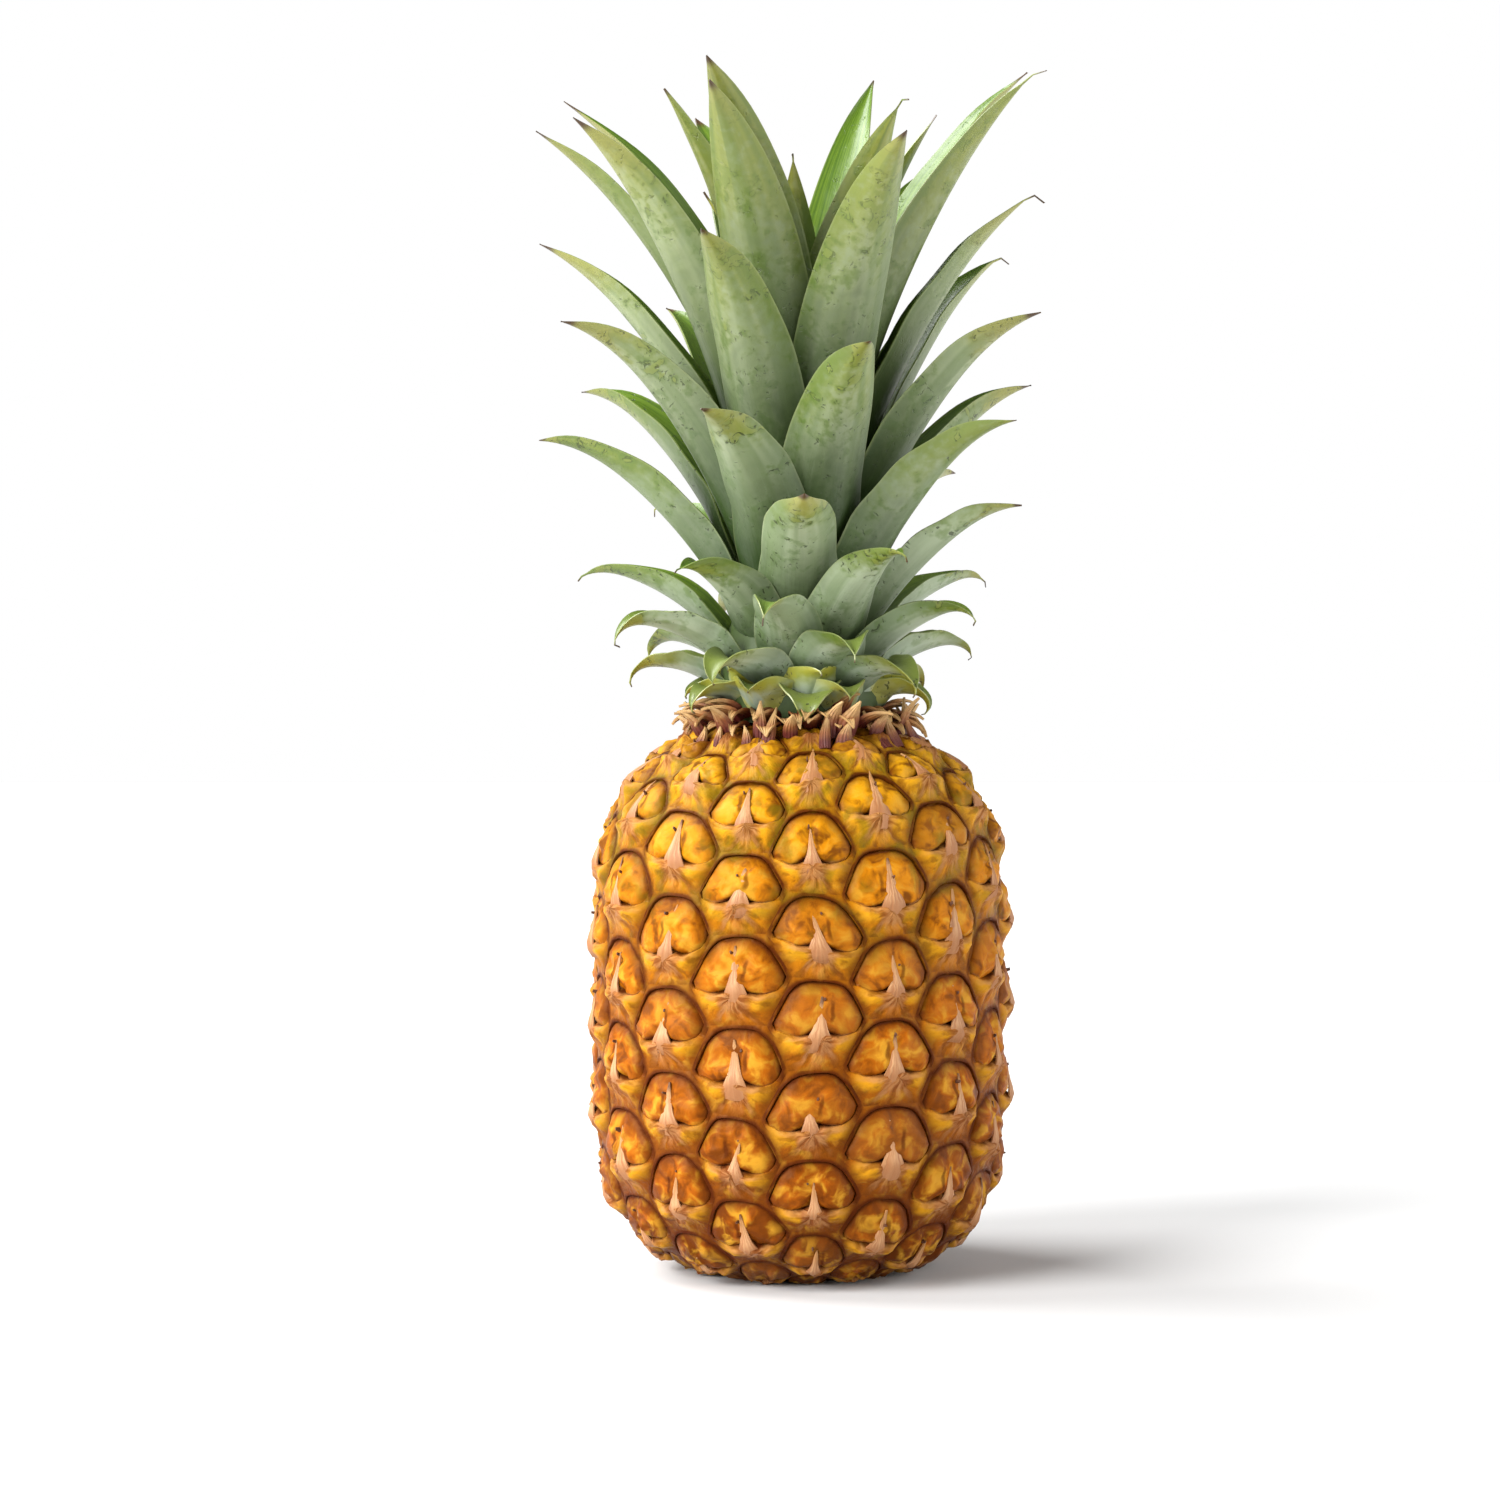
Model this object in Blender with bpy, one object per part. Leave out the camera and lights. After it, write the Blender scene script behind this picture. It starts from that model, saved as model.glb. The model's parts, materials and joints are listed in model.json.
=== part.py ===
"""A fresh pineapple that stands on its base: the fruit, its crown of leaves and its cut stalk.

Dimensions are in millimetres, and the scene is in metres with +Z up. The origin is the centre
of the stalk's cut face, on the surface that the fruit stands on. An azimuth of 0 degrees faces
-Y, and azimuths grow towards +X.
"""

import math
import random

import bmesh
import bpy
from mathutils import Vector

MM = 0.001

# The fruit's barrel outline: two half superellipses that meet at the widest height
FRUIT_RADIUS = 59.0
WIDEST_HEIGHT = 75.0
TOP_REACH = 84.0
TOP_POWERS = (2.0, 4.5)
BASE_REACH = 76.5
BASE_POWERS = (3.0, 4.2)
TOP_SEAT = 156.7
OUTLINE_STEPS = 500
OUTLINE_END = 89.0

# The eyes: 17 of them take two turns round the fruit, so they stack in 17 upright columns
EYES_IN_TWO_TURNS = 17
EYE_TURN = 720.0 / EYES_IN_TWO_TURNS
EYE_RISE = 1.42
EYE_SHRINK = 0.35
SMALLEST_EYE = 0.05
END_OVERLAP = 16
FIRST_AZIMUTH = 3.5
FIRST_HEIGHT = 74.7
GROOVE_DEPTH = 2.6
BRACT_SWELL = 1.0
BRACT_TIP = 2.2
BRACT_TIP_LIFT = 1.6
RELIEF_FADE = 2.5
EYE_RINGS = ((6, 0.36), (12, 0.74), (12, 1.0))

# The dried bracts that curl over the top of the fruit, under the crown
COLLAR_COUNT = 21
COLLAR_ROOT = (23.5, 150.5)
COLLAR_REACH = (32.5, 38.0)
COLLAR_TIP_HEIGHT = (151.5, 155.5)
COLLAR_ROOT_LEAN = 25.0
COLLAR_BOW = 0.75
COLLAR_WIDTH = 8.0
COLLAR_TAPER = 1.5
COLLAR_DETAIL = (4, 3)
COLLAR_CURL = 35.0
COLLAR_THICKNESS = 1.0
COLLAR_STRAY = 5.0

# The cut stalk, in its hollow in the base
STALK_RADIUS = 12.5
STALK_DEPTH = 7.0
GAP = 0.3

# The crown: a tapered stem that carries its leaves on one spiral
STEM_BASE = TOP_SEAT + GAP
STEM_PROFILE = [(157, 22.5), (163, 24.0), (175, 22.0), (190, 18.0), (205, 13.5), (220, 9.5), (234, 5.0),
                (238, 2.0)]
STEM_SIDES = 14
LEAF_COUNT = 64
GOLDEN_TURN = 137.508
FRONT_LEAF = 24
FIRST_LEAF_RISE = 2.0
LEAFY_HEIGHT = 73.0
LEAF_CROWDING = 1.25
ROOT_SINK = 3.0
LEAF_THICKNESS = 1.3
LEAF_CURL = 46.0
LEAF_BOW = 0.55
TURN_STRAY = 4.0
REACH_STRAY = 0.05
TIP_STRAY = 3.0
CROWN_SEED = 11

# How the leaves change up the spiral, as (leaf, value) points: how far the tip reaches from the
# axis, the tip's height, the root's lean from upright, the width, and how full the blade stays
LEAF_REACH = [(0, 39), (4, 47), (9, 53), (14, 58), (22, 65), (26, 69), (34, 69), (43, 71), (51, 72), (54, 46),
              (58, 30), (63, 12)]
LEAF_TIP_HEIGHT = [(0, 160), (4, 166), (9, 177), (14, 189), (18, 204), (22, 219), (26, 238), (30, 255),
                   (34, 272), (38, 294), (43, 313), (47, 332), (51, 343), (54, 335), (58, 318), (63, 290)]
LEAF_ROOT_LEAN = [(0, 60), (9, 48), (14, 42), (22, 32), (30, 24), (38, 17), (47, 12), (58, 5), (63, 2)]
LEAF_WIDTH = [(0, 18), (8, 22), (11, 24), (24, 25), (29, 28), (37, 31), (46, 31), (50, 28), (55, 22),
              (63, 13)]
LEAF_TAPER = [(0, 1.6), (20, 2.1), (38, 2.0), (50, 1.6), (63, 1.4)]

# Leaves that grew a little off the rule: (degrees further round, mm higher at the tip)
LEAF_NUDGES = {3: (0, -7), 16: (0, -6), 24: (0, -10), 29: (0, -8), 32: (0, -2), 37: (-13, 2), 40: (-10, 14),
               42: (-14, 18), 45: (-20, 8), 47: (-8, -6), 48: (12, 8)}

# Points along and across a leaf, for leaves below a leaf number
LEAF_DETAIL = ((14, (4, 3)), (30, (5, 4)), (LEAF_COUNT, (6, 4)))

# The form that every blade shares, as shares of its length, width or thickness
BLADE_WIDEST = 0.25
BLADE_ROOT_WIDTH = 0.82
BLADE_CLASP = 0.35
BLADE_THINNING = 0.45
BLADE_THINNEST = 0.6
BLADE_NARROWEST = 0.35
ROOT_WRAP = 70.0
CREASE_ANGLE = 35.0


def blend(points, position):
    """Reads the value at a position between (position, value) points, along straight lines."""
    if position <= points[0][0]:
        return points[0][1]
    for (low, start), (high, end) in zip(points, points[1:]):
        if position <= high:
            share = (position - low) / (high - low)
            return start + (end - start) * share
    return points[-1][1]


def around(azimuth, radius, height):
    """The point at an azimuth in degrees, a radius and a height."""
    angle = math.radians(azimuth)
    return Vector((radius * math.sin(angle), -radius * math.cos(angle), height))


def outline_point(angle):
    """Radius and height of the barrel at an angle from -90 degrees, its base, to 90, its top."""
    reach, powers = (TOP_REACH, TOP_POWERS) if angle >= 0 else (BASE_REACH, BASE_POWERS)
    rise = abs(math.sin(math.radians(angle))) ** (2 / powers[1])
    radius = FRUIT_RADIUS * math.cos(math.radians(angle)) ** (2 / powers[0])
    return radius, WIDEST_HEIGHT + math.copysign(reach * rise, angle)


def eye_scale(radius):
    """Size of the eyes at a radius, as a share of those at the widest height."""
    return max(radius / FRUIT_RADIUS, SMALLEST_EYE) ** EYE_SHRINK


def outline_by_eye_number():
    """The barrel as (eye number, radius, height) samples, from the base up.

    Eye numbers count up the spiral from the eye at FIRST_HEIGHT. Each step up takes EYE_RISE of
    outline at the widest height, and less where the fruit narrows and its eyes are smaller.
    """
    turns = range(-OUTLINE_STEPS, OUTLINE_STEPS + 1)
    angles = [OUTLINE_END * math.copysign((k / OUTLINE_STEPS) ** 2, k) for k in turns]
    points = [outline_point(angle) for angle in angles]
    number, samples = 0.0, [(0.0, *points[0])]
    for (radius, height), (next_radius, next_height) in zip(points, points[1:]):
        step = math.hypot(next_radius - radius, next_height - height)
        number += step / (EYE_RISE * eye_scale((radius + next_radius) / 2))
        samples.append((number, next_radius, next_height))
    start = next(number for number, _, height in samples if height >= FIRST_HEIGHT)
    return [(number - start, radius, height) for number, radius, height in samples]


class Outline:
    """The barrel outline, read by eye number."""

    def __init__(self):
        samples = outline_by_eye_number()
        self.radii = [(number, radius) for number, radius, _ in samples]
        self.heights = [(number, height) for number, _, height in samples]
        standing = [number for number, _, height in samples if 0.0 <= height <= TOP_SEAT]
        self.first = math.floor(standing[0]) - END_OVERLAP
        self.last = math.ceil(standing[-1]) + END_OVERLAP

    def at(self, number):
        """Radius, height, and the outward direction's radial and upward shares."""
        radius, height = blend(self.radii, number), blend(self.heights, number)
        run = blend(self.radii, number + 0.5) - blend(self.radii, number - 0.5)
        rise = blend(self.heights, number + 0.5) - blend(self.heights, number - 0.5)
        length = math.hypot(run, rise) or 1.0
        return radius, height, rise / length, -run / length


def circumcentre(first, second):
    """The point as far from the origin as from two others."""
    area = 2 * (first.x * second.y - first.y * second.x)
    x = second.y * first.length_squared - first.y * second.length_squared
    y = first.x * second.length_squared - second.x * first.length_squared
    return Vector((x / area, y / area))


def cell_corners():
    """Corners of the cell round one eye, in mm along and up the widest part of the fruit."""
    column = math.radians(EYE_TURN / 2) * FRUIT_RADIUS
    right_up = Vector((column, 9 * EYE_RISE))
    left_up = Vector((-column, 8 * EYE_RISE))
    above = right_up + left_up
    ring = [right_up, above, left_up, -right_up, -above, -left_up]
    return [circumcentre(ring[k], ring[(k + 1) % 6]) for k in range(6)]


def eye_relief(up, share):
    """Height of an eye's surface at a point of its cell. share is 0 at its centre, 1 at its edge."""
    face = -GROOVE_DEPTH * share**3
    bract = BRACT_SWELL * (1 - share) if up < 0 else 0.0
    tip = BRACT_TIP if share == 0 else 0.0
    return face + bract + tip


def cell_edge(corners, turn):
    """The point of the cell's edge at a share of the way round it, from its first corner."""
    place = turn * 6
    corner = int(place) % 6
    return corners[corner].lerp(corners[(corner + 1) % 6], place - int(place))


def eye_tile():
    """One eye's cell as rings round its centre: points as (mm along, mm up, share), and its faces."""
    corners = cell_corners()
    points, rings, faces = [(0.0, 0.0, 0.0)], [], []
    for count, share in EYE_RINGS:
        rings.append([len(points) + k for k in range(count)])
        for k in range(count):
            edge = cell_edge(corners, k / count)
            points.append((edge.x * share, edge.y * share, share))
    first = rings[0]
    faces += [(0, first[k], first[(k + 1) % len(first)]) for k in range(len(first))]
    for inner, outer in zip(rings, rings[1:]):
        step = len(outer) // len(inner)
        for k, near in enumerate(inner):
            far = [outer[(k * step + m) % len(outer)] for m in range(step + 1)]
            faces += [(near, far[m], far[m + 1]) for m in range(step)]
            faces.append((near, far[step], inner[(k + 1) % len(inner)]))
    return points, faces


def fruit_mesh():
    """The rind: every eye's cell laid on the barrel, joined, and cut flat at both ends."""
    outline = Outline()
    points, faces = eye_tile()
    widest_turn = math.degrees(1 / FRUIT_RADIUS)
    mesh = bmesh.new()
    for eye in range(outline.first, outline.last + 1):
        placed = []
        for along, up, share in points:
            lift = BRACT_TIP_LIFT if share == 0 else 0.0
            radius, height, outward, upward = outline.at(eye + (up + lift) / EYE_RISE)
            relief = eye_relief(up, share) * eye_scale(radius) * min(1.0, RELIEF_FADE * outward)
            azimuth = FIRST_AZIMUTH + eye * EYE_TURN + along * widest_turn
            spot = around(azimuth, radius + relief * outward, height + relief * upward)
            placed.append(mesh.verts.new(spot * MM))
        for face in faces:
            mesh.faces.new([placed[k] for k in face])
    bmesh.ops.remove_doubles(mesh, verts=mesh.verts, dist=0.02 * MM)
    for height, normal in ((0.0, (0, 0, -1)), (TOP_SEAT, (0, 0, 1))):
        everything = mesh.verts[:] + mesh.edges[:] + mesh.faces[:]
        spot = (0, 0, height * MM)
        bmesh.ops.bisect_plane(mesh, geom=everything, plane_co=spot, plane_no=normal, clear_outer=True)
        rim = [edge for edge in mesh.edges if edge.is_boundary and abs(edge.verts[0].co.z - spot[2]) < 1e-6]
        bmesh.ops.holes_fill(mesh, edges=rim)
    bmesh.ops.triangulate(mesh, faces=[face for face in mesh.faces if len(face.verts) > 4])
    bmesh.ops.recalc_face_normals(mesh, faces=mesh.faces)
    data = bpy.data.meshes.new("fruit")
    mesh.to_mesh(data)
    mesh.free()
    return data


def loft(sections, name):
    """A closed solid through rings of points, capped at both ends."""
    mesh = bmesh.new()
    rings = [[mesh.verts.new(point * MM) for point in section] for section in sections]
    count = len(rings[0])
    for ring, following in zip(rings, rings[1:]):
        for k in range(count):
            mesh.faces.new((ring[k], ring[(k + 1) % count], following[(k + 1) % count], following[k]))
    mesh.faces.new(rings[0])
    mesh.faces.new(rings[-1])
    bmesh.ops.triangulate(mesh, faces=mesh.faces)
    bmesh.ops.recalc_face_normals(mesh, faces=mesh.faces)
    if mesh.calc_volume(signed=True) < 0:
        bmesh.ops.reverse_faces(mesh, faces=mesh.faces)
    data = bpy.data.meshes.new(name)
    mesh.to_mesh(data)
    mesh.free()
    return data


def midrib(root, tip, root_lean, bow, share):
    """A point of a leaf's midrib and its direction, both as (radius, height).

    The midrib is a quadratic curve that leaves the root at root_lean degrees from upright.
    """
    chord = tip - root
    lean = math.radians(root_lean)
    bend = root + Vector((math.sin(lean), math.cos(lean))) * bow * chord.length
    spot = root.lerp(bend, share).lerp(bend.lerp(tip, share), share)
    heading = (bend - root).lerp(tip - bend, share).normalized()
    return spot, heading


def blade_width(share, taper):
    """Width of a leaf at a share of its length, as a share of its widest."""
    if share < BLADE_WIDEST:
        return BLADE_ROOT_WIDTH + (1 - BLADE_ROOT_WIDTH) * math.sin(share / BLADE_WIDEST * math.pi / 2)
    return 1 - ((share - BLADE_WIDEST) / (1 - BLADE_WIDEST)) ** taper


def blade_sections(azimuth, path, width, taper, detail, curl, thickness):
    """Rings of points of a channelled, pointed blade along a midrib.

    path holds the midrib's root, tip, root lean and bow. curl is half the angle that the blade's
    width wraps through, with its hollow side towards the stem. Near its root the blade wraps
    round the stem's own axis instead, so that neighbours lie over each other.
    """
    out, across = around(azimuth, 1.0, 0.0), around(azimuth + 90.0, 1.0, 0.0)
    stations, sides = detail
    sections = []
    for k in range(stations + 1):
        share = k / stations
        (from_axis, height), (outward, upward) = midrib(*path, share)
        spot = out * from_axis + Vector((0, 0, height))
        back = out * upward - Vector((0, 0, outward))
        half = min(width / 2 * blade_width(share, taper), from_axis * math.radians(ROOT_WRAP))
        half = max(half, BLADE_NARROWEST)
        own_curl = math.radians(curl)
        clasp = max(1 - share / BLADE_CLASP, 0.0)
        bend = own_curl + (min(half / from_axis, own_curl) - own_curl) * clasp
        depth = max(thickness * (1 - BLADE_THINNING * share), BLADE_THINNEST)
        outer, inner = [], []
        for side in range(sides):
            angle = (side / (sides - 1) * 2 - 1) * bend
            place = spot + (across * math.sin(angle) - back * (1 - math.cos(angle))) * (half / bend)
            outer.append(place)
            inner.append(place - (back * math.cos(angle) + across * math.sin(angle)) * depth)
        sections.append(outer + inner[1:-1][::-1])
    return sections


def add_blade(name, sections, collection):
    """Adds one blade to a collection."""
    collection.objects.link(bpy.data.objects.new(name, loft(sections, name)))


def leaf_rule(leaf, chance):
    """Azimuth, midrib path, width and taper of a leaf, counted up the spiral from the crown's base."""
    turn_nudge, rise_nudge = LEAF_NUDGES.get(leaf, (0, 0))
    azimuth = (leaf - FRONT_LEAF) * GOLDEN_TURN + turn_nudge + chance.uniform(-TURN_STRAY, TURN_STRAY)
    height = STEM_BASE + FIRST_LEAF_RISE + LEAFY_HEIGHT * (leaf / (LEAF_COUNT - 1)) ** LEAF_CROWDING
    root = Vector((blend(STEM_PROFILE, height) - ROOT_SINK, height))
    reach = blend(LEAF_REACH, leaf) * (1 + chance.uniform(-REACH_STRAY, REACH_STRAY))
    rise = blend(LEAF_TIP_HEIGHT, leaf) + rise_nudge + chance.uniform(-TIP_STRAY, TIP_STRAY)
    path = (root, Vector((reach, rise)), blend(LEAF_ROOT_LEAN, leaf), LEAF_BOW)
    return azimuth, path, blend(LEAF_WIDTH, leaf), blend(LEAF_TAPER, leaf)


def crown_leaves(collection):
    """Adds each leaf of the crown to a collection."""
    chance = random.Random(CROWN_SEED)
    for leaf in range(LEAF_COUNT):
        detail = next(detail for below, detail in LEAF_DETAIL if leaf < below)
        sections = blade_sections(*leaf_rule(leaf, chance), detail, LEAF_CURL, LEAF_THICKNESS)
        add_blade(f"leaf_{leaf:02d}", sections, collection)


def collar_bracts(collection):
    """Adds the small dried bracts that curl over the top of the fruit."""
    chance = random.Random(CROWN_SEED + 1)
    for bract in range(COLLAR_COUNT):
        azimuth = bract * 360.0 / COLLAR_COUNT + chance.uniform(-COLLAR_STRAY, COLLAR_STRAY)
        tip = Vector((chance.uniform(*COLLAR_REACH), chance.uniform(*COLLAR_TIP_HEIGHT)))
        path = (Vector(COLLAR_ROOT), tip, COLLAR_ROOT_LEAN, COLLAR_BOW)
        sections = blade_sections(azimuth, path, COLLAR_WIDTH, COLLAR_TAPER, COLLAR_DETAIL, COLLAR_CURL,
                                  COLLAR_THICKNESS)
        add_blade(f"dried_bract_{bract:02d}", sections, collection)


def new_collection(name):
    """An empty collection in the scene."""
    made = bpy.data.collections.new(name)
    bpy.context.scene.collection.children.link(made)
    return made


def fuse(obj, pieces, operation="UNION"):
    """Joins a collection's objects to obj, or cuts them from it, and then removes them."""
    modifier = obj.modifiers.new("fuse", "BOOLEAN")
    modifier.operation = operation
    modifier.operand_type = "COLLECTION"
    modifier.collection = pieces
    modifier.solver = "MANIFOLD"
    bpy.context.view_layer.update()
    evaluated = obj.evaluated_get(bpy.context.evaluated_depsgraph_get())
    fused = bpy.data.meshes.new_from_object(evaluated)
    obj.modifiers.clear()
    obj.data = fused
    for piece in list(pieces.objects):
        bpy.data.objects.remove(piece)
    bpy.data.collections.remove(pieces)
    keep_outer_skin(fused)


def keep_outer_skin(data):
    """Removes sealed hollows and loose scraps, so that only the largest closed skin is left."""
    mesh = bmesh.new()
    mesh.from_mesh(data)
    unseen, skins = set(mesh.verts), []
    while unseen:
        skin, edge_of_search = set(), [unseen.pop()]
        while edge_of_search:
            vert = edge_of_search.pop()
            skin.add(vert)
            for edge in vert.link_edges:
                other = edge.other_vert(vert)
                if other in unseen:
                    unseen.remove(other)
                    edge_of_search.append(other)
        skins.append(skin)
    skins.sort(key=len)
    scraps = [vert for skin in skins[:-1] for vert in skin]
    bmesh.ops.delete(mesh, geom=scraps, context="VERTS")
    mesh.to_mesh(data)
    mesh.free()


def material(name, colour, roughness):
    """A plain coloured finish."""
    made = bpy.data.materials.new(name)
    made.use_nodes = True
    shader = made.node_tree.nodes["Principled BSDF"]
    shader.inputs["Base Color"].default_value = (*colour, 1.0)
    shader.inputs["Roughness"].default_value = roughness
    shader.inputs["Metallic"].default_value = 0.0
    return made


def finish(obj, surface):
    """Gives obj its material, and shades it smooth up to its creases."""
    obj.data.materials.clear()
    obj.data.materials.append(surface)
    obj.data.shade_smooth()
    obj.data.set_sharp_from_angle(angle=math.radians(CREASE_ANGLE))


def cylinder(name, radius, low, high, collection):
    """An upright cylinder between two heights."""
    mesh = bmesh.new()
    bmesh.ops.create_cone(mesh, cap_ends=True, segments=24, radius1=radius * MM, radius2=radius * MM,
                          depth=(high - low) * MM)
    bmesh.ops.translate(mesh, verts=mesh.verts, vec=(0, 0, (low + high) / 2 * MM))
    data = bpy.data.meshes.new(name)
    mesh.to_mesh(data)
    mesh.free()
    obj = bpy.data.objects.new(name, data)
    collection.objects.link(obj)
    return obj


def make_fruit(collection):
    """The fruit with its eyes, the dried bracts at its top and the hollow for its stalk."""
    fruit = bpy.data.objects.new("fruit", fruit_mesh())
    collection.objects.link(fruit)
    bracts = new_collection("dried bracts")
    collar_bracts(bracts)
    fuse(fruit, bracts)
    hollow = new_collection("stalk hollow")
    cylinder("hollow", STALK_RADIUS + GAP, -STALK_DEPTH, STALK_DEPTH + GAP, hollow)
    fuse(fruit, hollow, "DIFFERENCE")
    finish(fruit, material("rind", (0.62, 0.31, 0.05), 0.55))


def make_stalk(collection):
    """The cut stub of the stalk that carried the fruit."""
    stalk = cylinder("stalk", STALK_RADIUS, 0.0, STALK_DEPTH, collection)
    finish(stalk, material("cut stalk", (0.60, 0.48, 0.28), 0.8))


def make_crown(collection):
    """The leafy stem on top of the fruit."""
    rings = [[around(360.0 * k / STEM_SIDES, radius, height) for k in range(STEM_SIDES)]
             for height, radius in STEM_PROFILE]
    crown = bpy.data.objects.new("crown", loft(rings, "crown"))
    collection.objects.link(crown)
    leaves = new_collection("crown leaves")
    crown_leaves(leaves)
    fuse(crown, leaves)
    finish(crown, material("leaf green", (0.24, 0.36, 0.14), 0.5))


def main():
    for obj in list(bpy.data.objects):
        bpy.data.objects.remove(obj)
    pineapple = new_collection("pineapple")
    make_fruit(pineapple)
    make_stalk(pineapple)
    make_crown(pineapple)


main()
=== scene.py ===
# A fresh pineapple that stands on its base, dressed round its CAD model. Sizes are in millimetres
# unless a line says otherwise, and azimuths in degrees: 0 faces -Y, and they grow towards +X.
import json
import math
import random
from functools import partialmethod

import bmesh
import bpy
import numpy as np
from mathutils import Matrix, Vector

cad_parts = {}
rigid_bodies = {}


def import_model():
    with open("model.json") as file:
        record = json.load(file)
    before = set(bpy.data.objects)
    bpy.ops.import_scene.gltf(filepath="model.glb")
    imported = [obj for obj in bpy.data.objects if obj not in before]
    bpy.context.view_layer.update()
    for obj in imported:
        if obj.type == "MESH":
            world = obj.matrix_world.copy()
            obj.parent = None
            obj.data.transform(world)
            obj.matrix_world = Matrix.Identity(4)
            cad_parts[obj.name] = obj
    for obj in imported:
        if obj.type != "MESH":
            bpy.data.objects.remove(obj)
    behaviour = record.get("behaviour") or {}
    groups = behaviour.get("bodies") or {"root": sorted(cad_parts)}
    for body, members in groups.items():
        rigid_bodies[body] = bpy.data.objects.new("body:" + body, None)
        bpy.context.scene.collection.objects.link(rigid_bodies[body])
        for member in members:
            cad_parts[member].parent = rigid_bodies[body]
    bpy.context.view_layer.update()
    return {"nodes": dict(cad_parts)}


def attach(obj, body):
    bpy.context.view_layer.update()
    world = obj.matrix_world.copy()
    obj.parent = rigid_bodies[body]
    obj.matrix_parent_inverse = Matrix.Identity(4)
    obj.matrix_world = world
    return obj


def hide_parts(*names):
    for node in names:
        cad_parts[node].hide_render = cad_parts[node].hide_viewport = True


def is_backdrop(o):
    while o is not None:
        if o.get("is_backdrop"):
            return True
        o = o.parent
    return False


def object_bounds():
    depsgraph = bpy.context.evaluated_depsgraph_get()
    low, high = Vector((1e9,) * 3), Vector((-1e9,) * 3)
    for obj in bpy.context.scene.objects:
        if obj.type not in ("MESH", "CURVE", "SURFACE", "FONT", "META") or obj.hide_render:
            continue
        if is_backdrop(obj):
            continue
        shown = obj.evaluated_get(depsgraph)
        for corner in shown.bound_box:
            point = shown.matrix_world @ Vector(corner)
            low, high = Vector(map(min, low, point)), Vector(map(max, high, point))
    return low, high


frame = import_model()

# ---- Rind ----
# The fruit's skin: about 180 berries grown together, each with one six-sided eye. An eye is a
# waxy domed button over a papery bract, with a dark groove arched over the button.
MM = 0.001
# The barrel's outline: a dome above its widest height and a flatter one below
FRUIT_RADIUS, WIDEST_HEIGHT = 59.0, 75.0
TOP_REACH, TOP_POWERS = 84.0, (2.0, 4.5)
BASE_REACH, BASE_POWERS = 76.5, (3.0, 4.2)
TOP_SEAT = 156.7
OUTLINE_STEPS, OUTLINE_END = 500, 89.0
# The spiral of eyes: degrees round and mm up from one eye to the next, and the eye at the front
EYE_TURN, EYE_RISE = 720.0 / 17, 1.42
FIRST_AZIMUTH, FIRST_HEIGHT = 3.5, 75.9
FIRST_EYE, LAST_EYE = -90, 94
EYE_SHRINK, SMALLEST_EYE = 0.35, 0.05
RELIEF_FADE = 2.5
# Slow waves that set the eyes a little off their rows: size, waves round the fruit, mm up for
# each radian, and start. The first two are in degrees round and the others in eye numbers.
WAVES_ROUND = ((0.9, 3, 17, 0.5), (0.7, 5, -11, 2))
WAVES_UP = ((0.55, 4, 13, 1), (0.4, 7, -19, 4))
# An eye's spokes, and its rings from the button's edge in and from the cell's edge in
EYE_SPOKES = 36
BUTTON_RINGS = (0.96, 0.88, 0.74, 0.54, 0.3)
SKIRT_RINGS = (0.87, 0.74, 0.61, 0.48, 0.36, 0.25, 0.15, 0.07)
# The button's edge, an arch over a line like a smile, and the middle of the star below it
BUTTON_CENTRE = (0.0, 3.0)
ARCH_TOP, ARCH_SLANT, ARCH_SIDE, ARCH_ROUNDING = 11.2, 11.7, 12.9, 9.0
SLANT = (0.735, 0.678)
SMILE_LEVEL, SMILE_DIP, SMILE_START, SMILE_LENGTH = -2.2, 1.3, 1.2, 9.8
STAR_HEIGHT = -4.6
ARCH_SIZE, ARCH_FOOT, FOOT_FALL, FAR_OFF = 11.0, -3.0, 1.5, 99.0
EYE_MAP_SIZE = 40.0
MAP_GAP = 8.0


def outline_point(angle):
    """Radius and height of the barrel at an angle from -90 degrees, its base, to 90, its top."""
    reach, powers = (TOP_REACH, TOP_POWERS) if angle >= 0 else (BASE_REACH, BASE_POWERS)
    rise = abs(math.sin(math.radians(angle))) ** (2 / powers[1])
    radius = FRUIT_RADIUS * math.cos(math.radians(angle)) ** (2 / powers[0])
    return radius, WIDEST_HEIGHT + math.copysign(reach * rise, angle)


def eye_scale(radius):
    """Size of the eyes at a radius, as a share of those at the widest height."""
    return np.maximum(radius / FRUIT_RADIUS, SMALLEST_EYE) ** EYE_SHRINK


turns = np.arange(-OUTLINE_STEPS, OUTLINE_STEPS + 1)
barrel = np.array([outline_point(OUTLINE_END * math.copysign((k / OUTLINE_STEPS) ** 2, k)) for k in turns])
steps = np.hypot(*np.diff(barrel, axis=0).T) / (EYE_RISE * eye_scale((barrel[1:, 0] + barrel[:-1, 0]) / 2))
eye_numbers = np.concatenate([[0.0], np.cumsum(steps)])
eye_numbers -= eye_numbers[np.argmax(barrel[:, 1] >= FIRST_HEIGHT)]


def on_barrel(number):
    """Radius, height, and the outward direction's radial and upward shares, at eye numbers."""
    radius, height = (np.interp(number, eye_numbers, barrel[:, k]) for k in (0, 1))
    run, rise = (np.interp(number + 0.5, eye_numbers, barrel[:, k])
                 - np.interp(number - 0.5, eye_numbers, barrel[:, k]) for k in (0, 1))
    length = np.maximum(np.hypot(run, rise), 1e-6)
    return radius, height, rise / length, -run / length


def around(azimuth, radius, height):
    """Points at azimuths in degrees, radii and heights, as rows."""
    angle = np.radians(azimuth)
    return np.stack([radius * np.sin(angle), -radius * np.cos(angle), height + 0 * radius], axis=-1)


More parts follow.
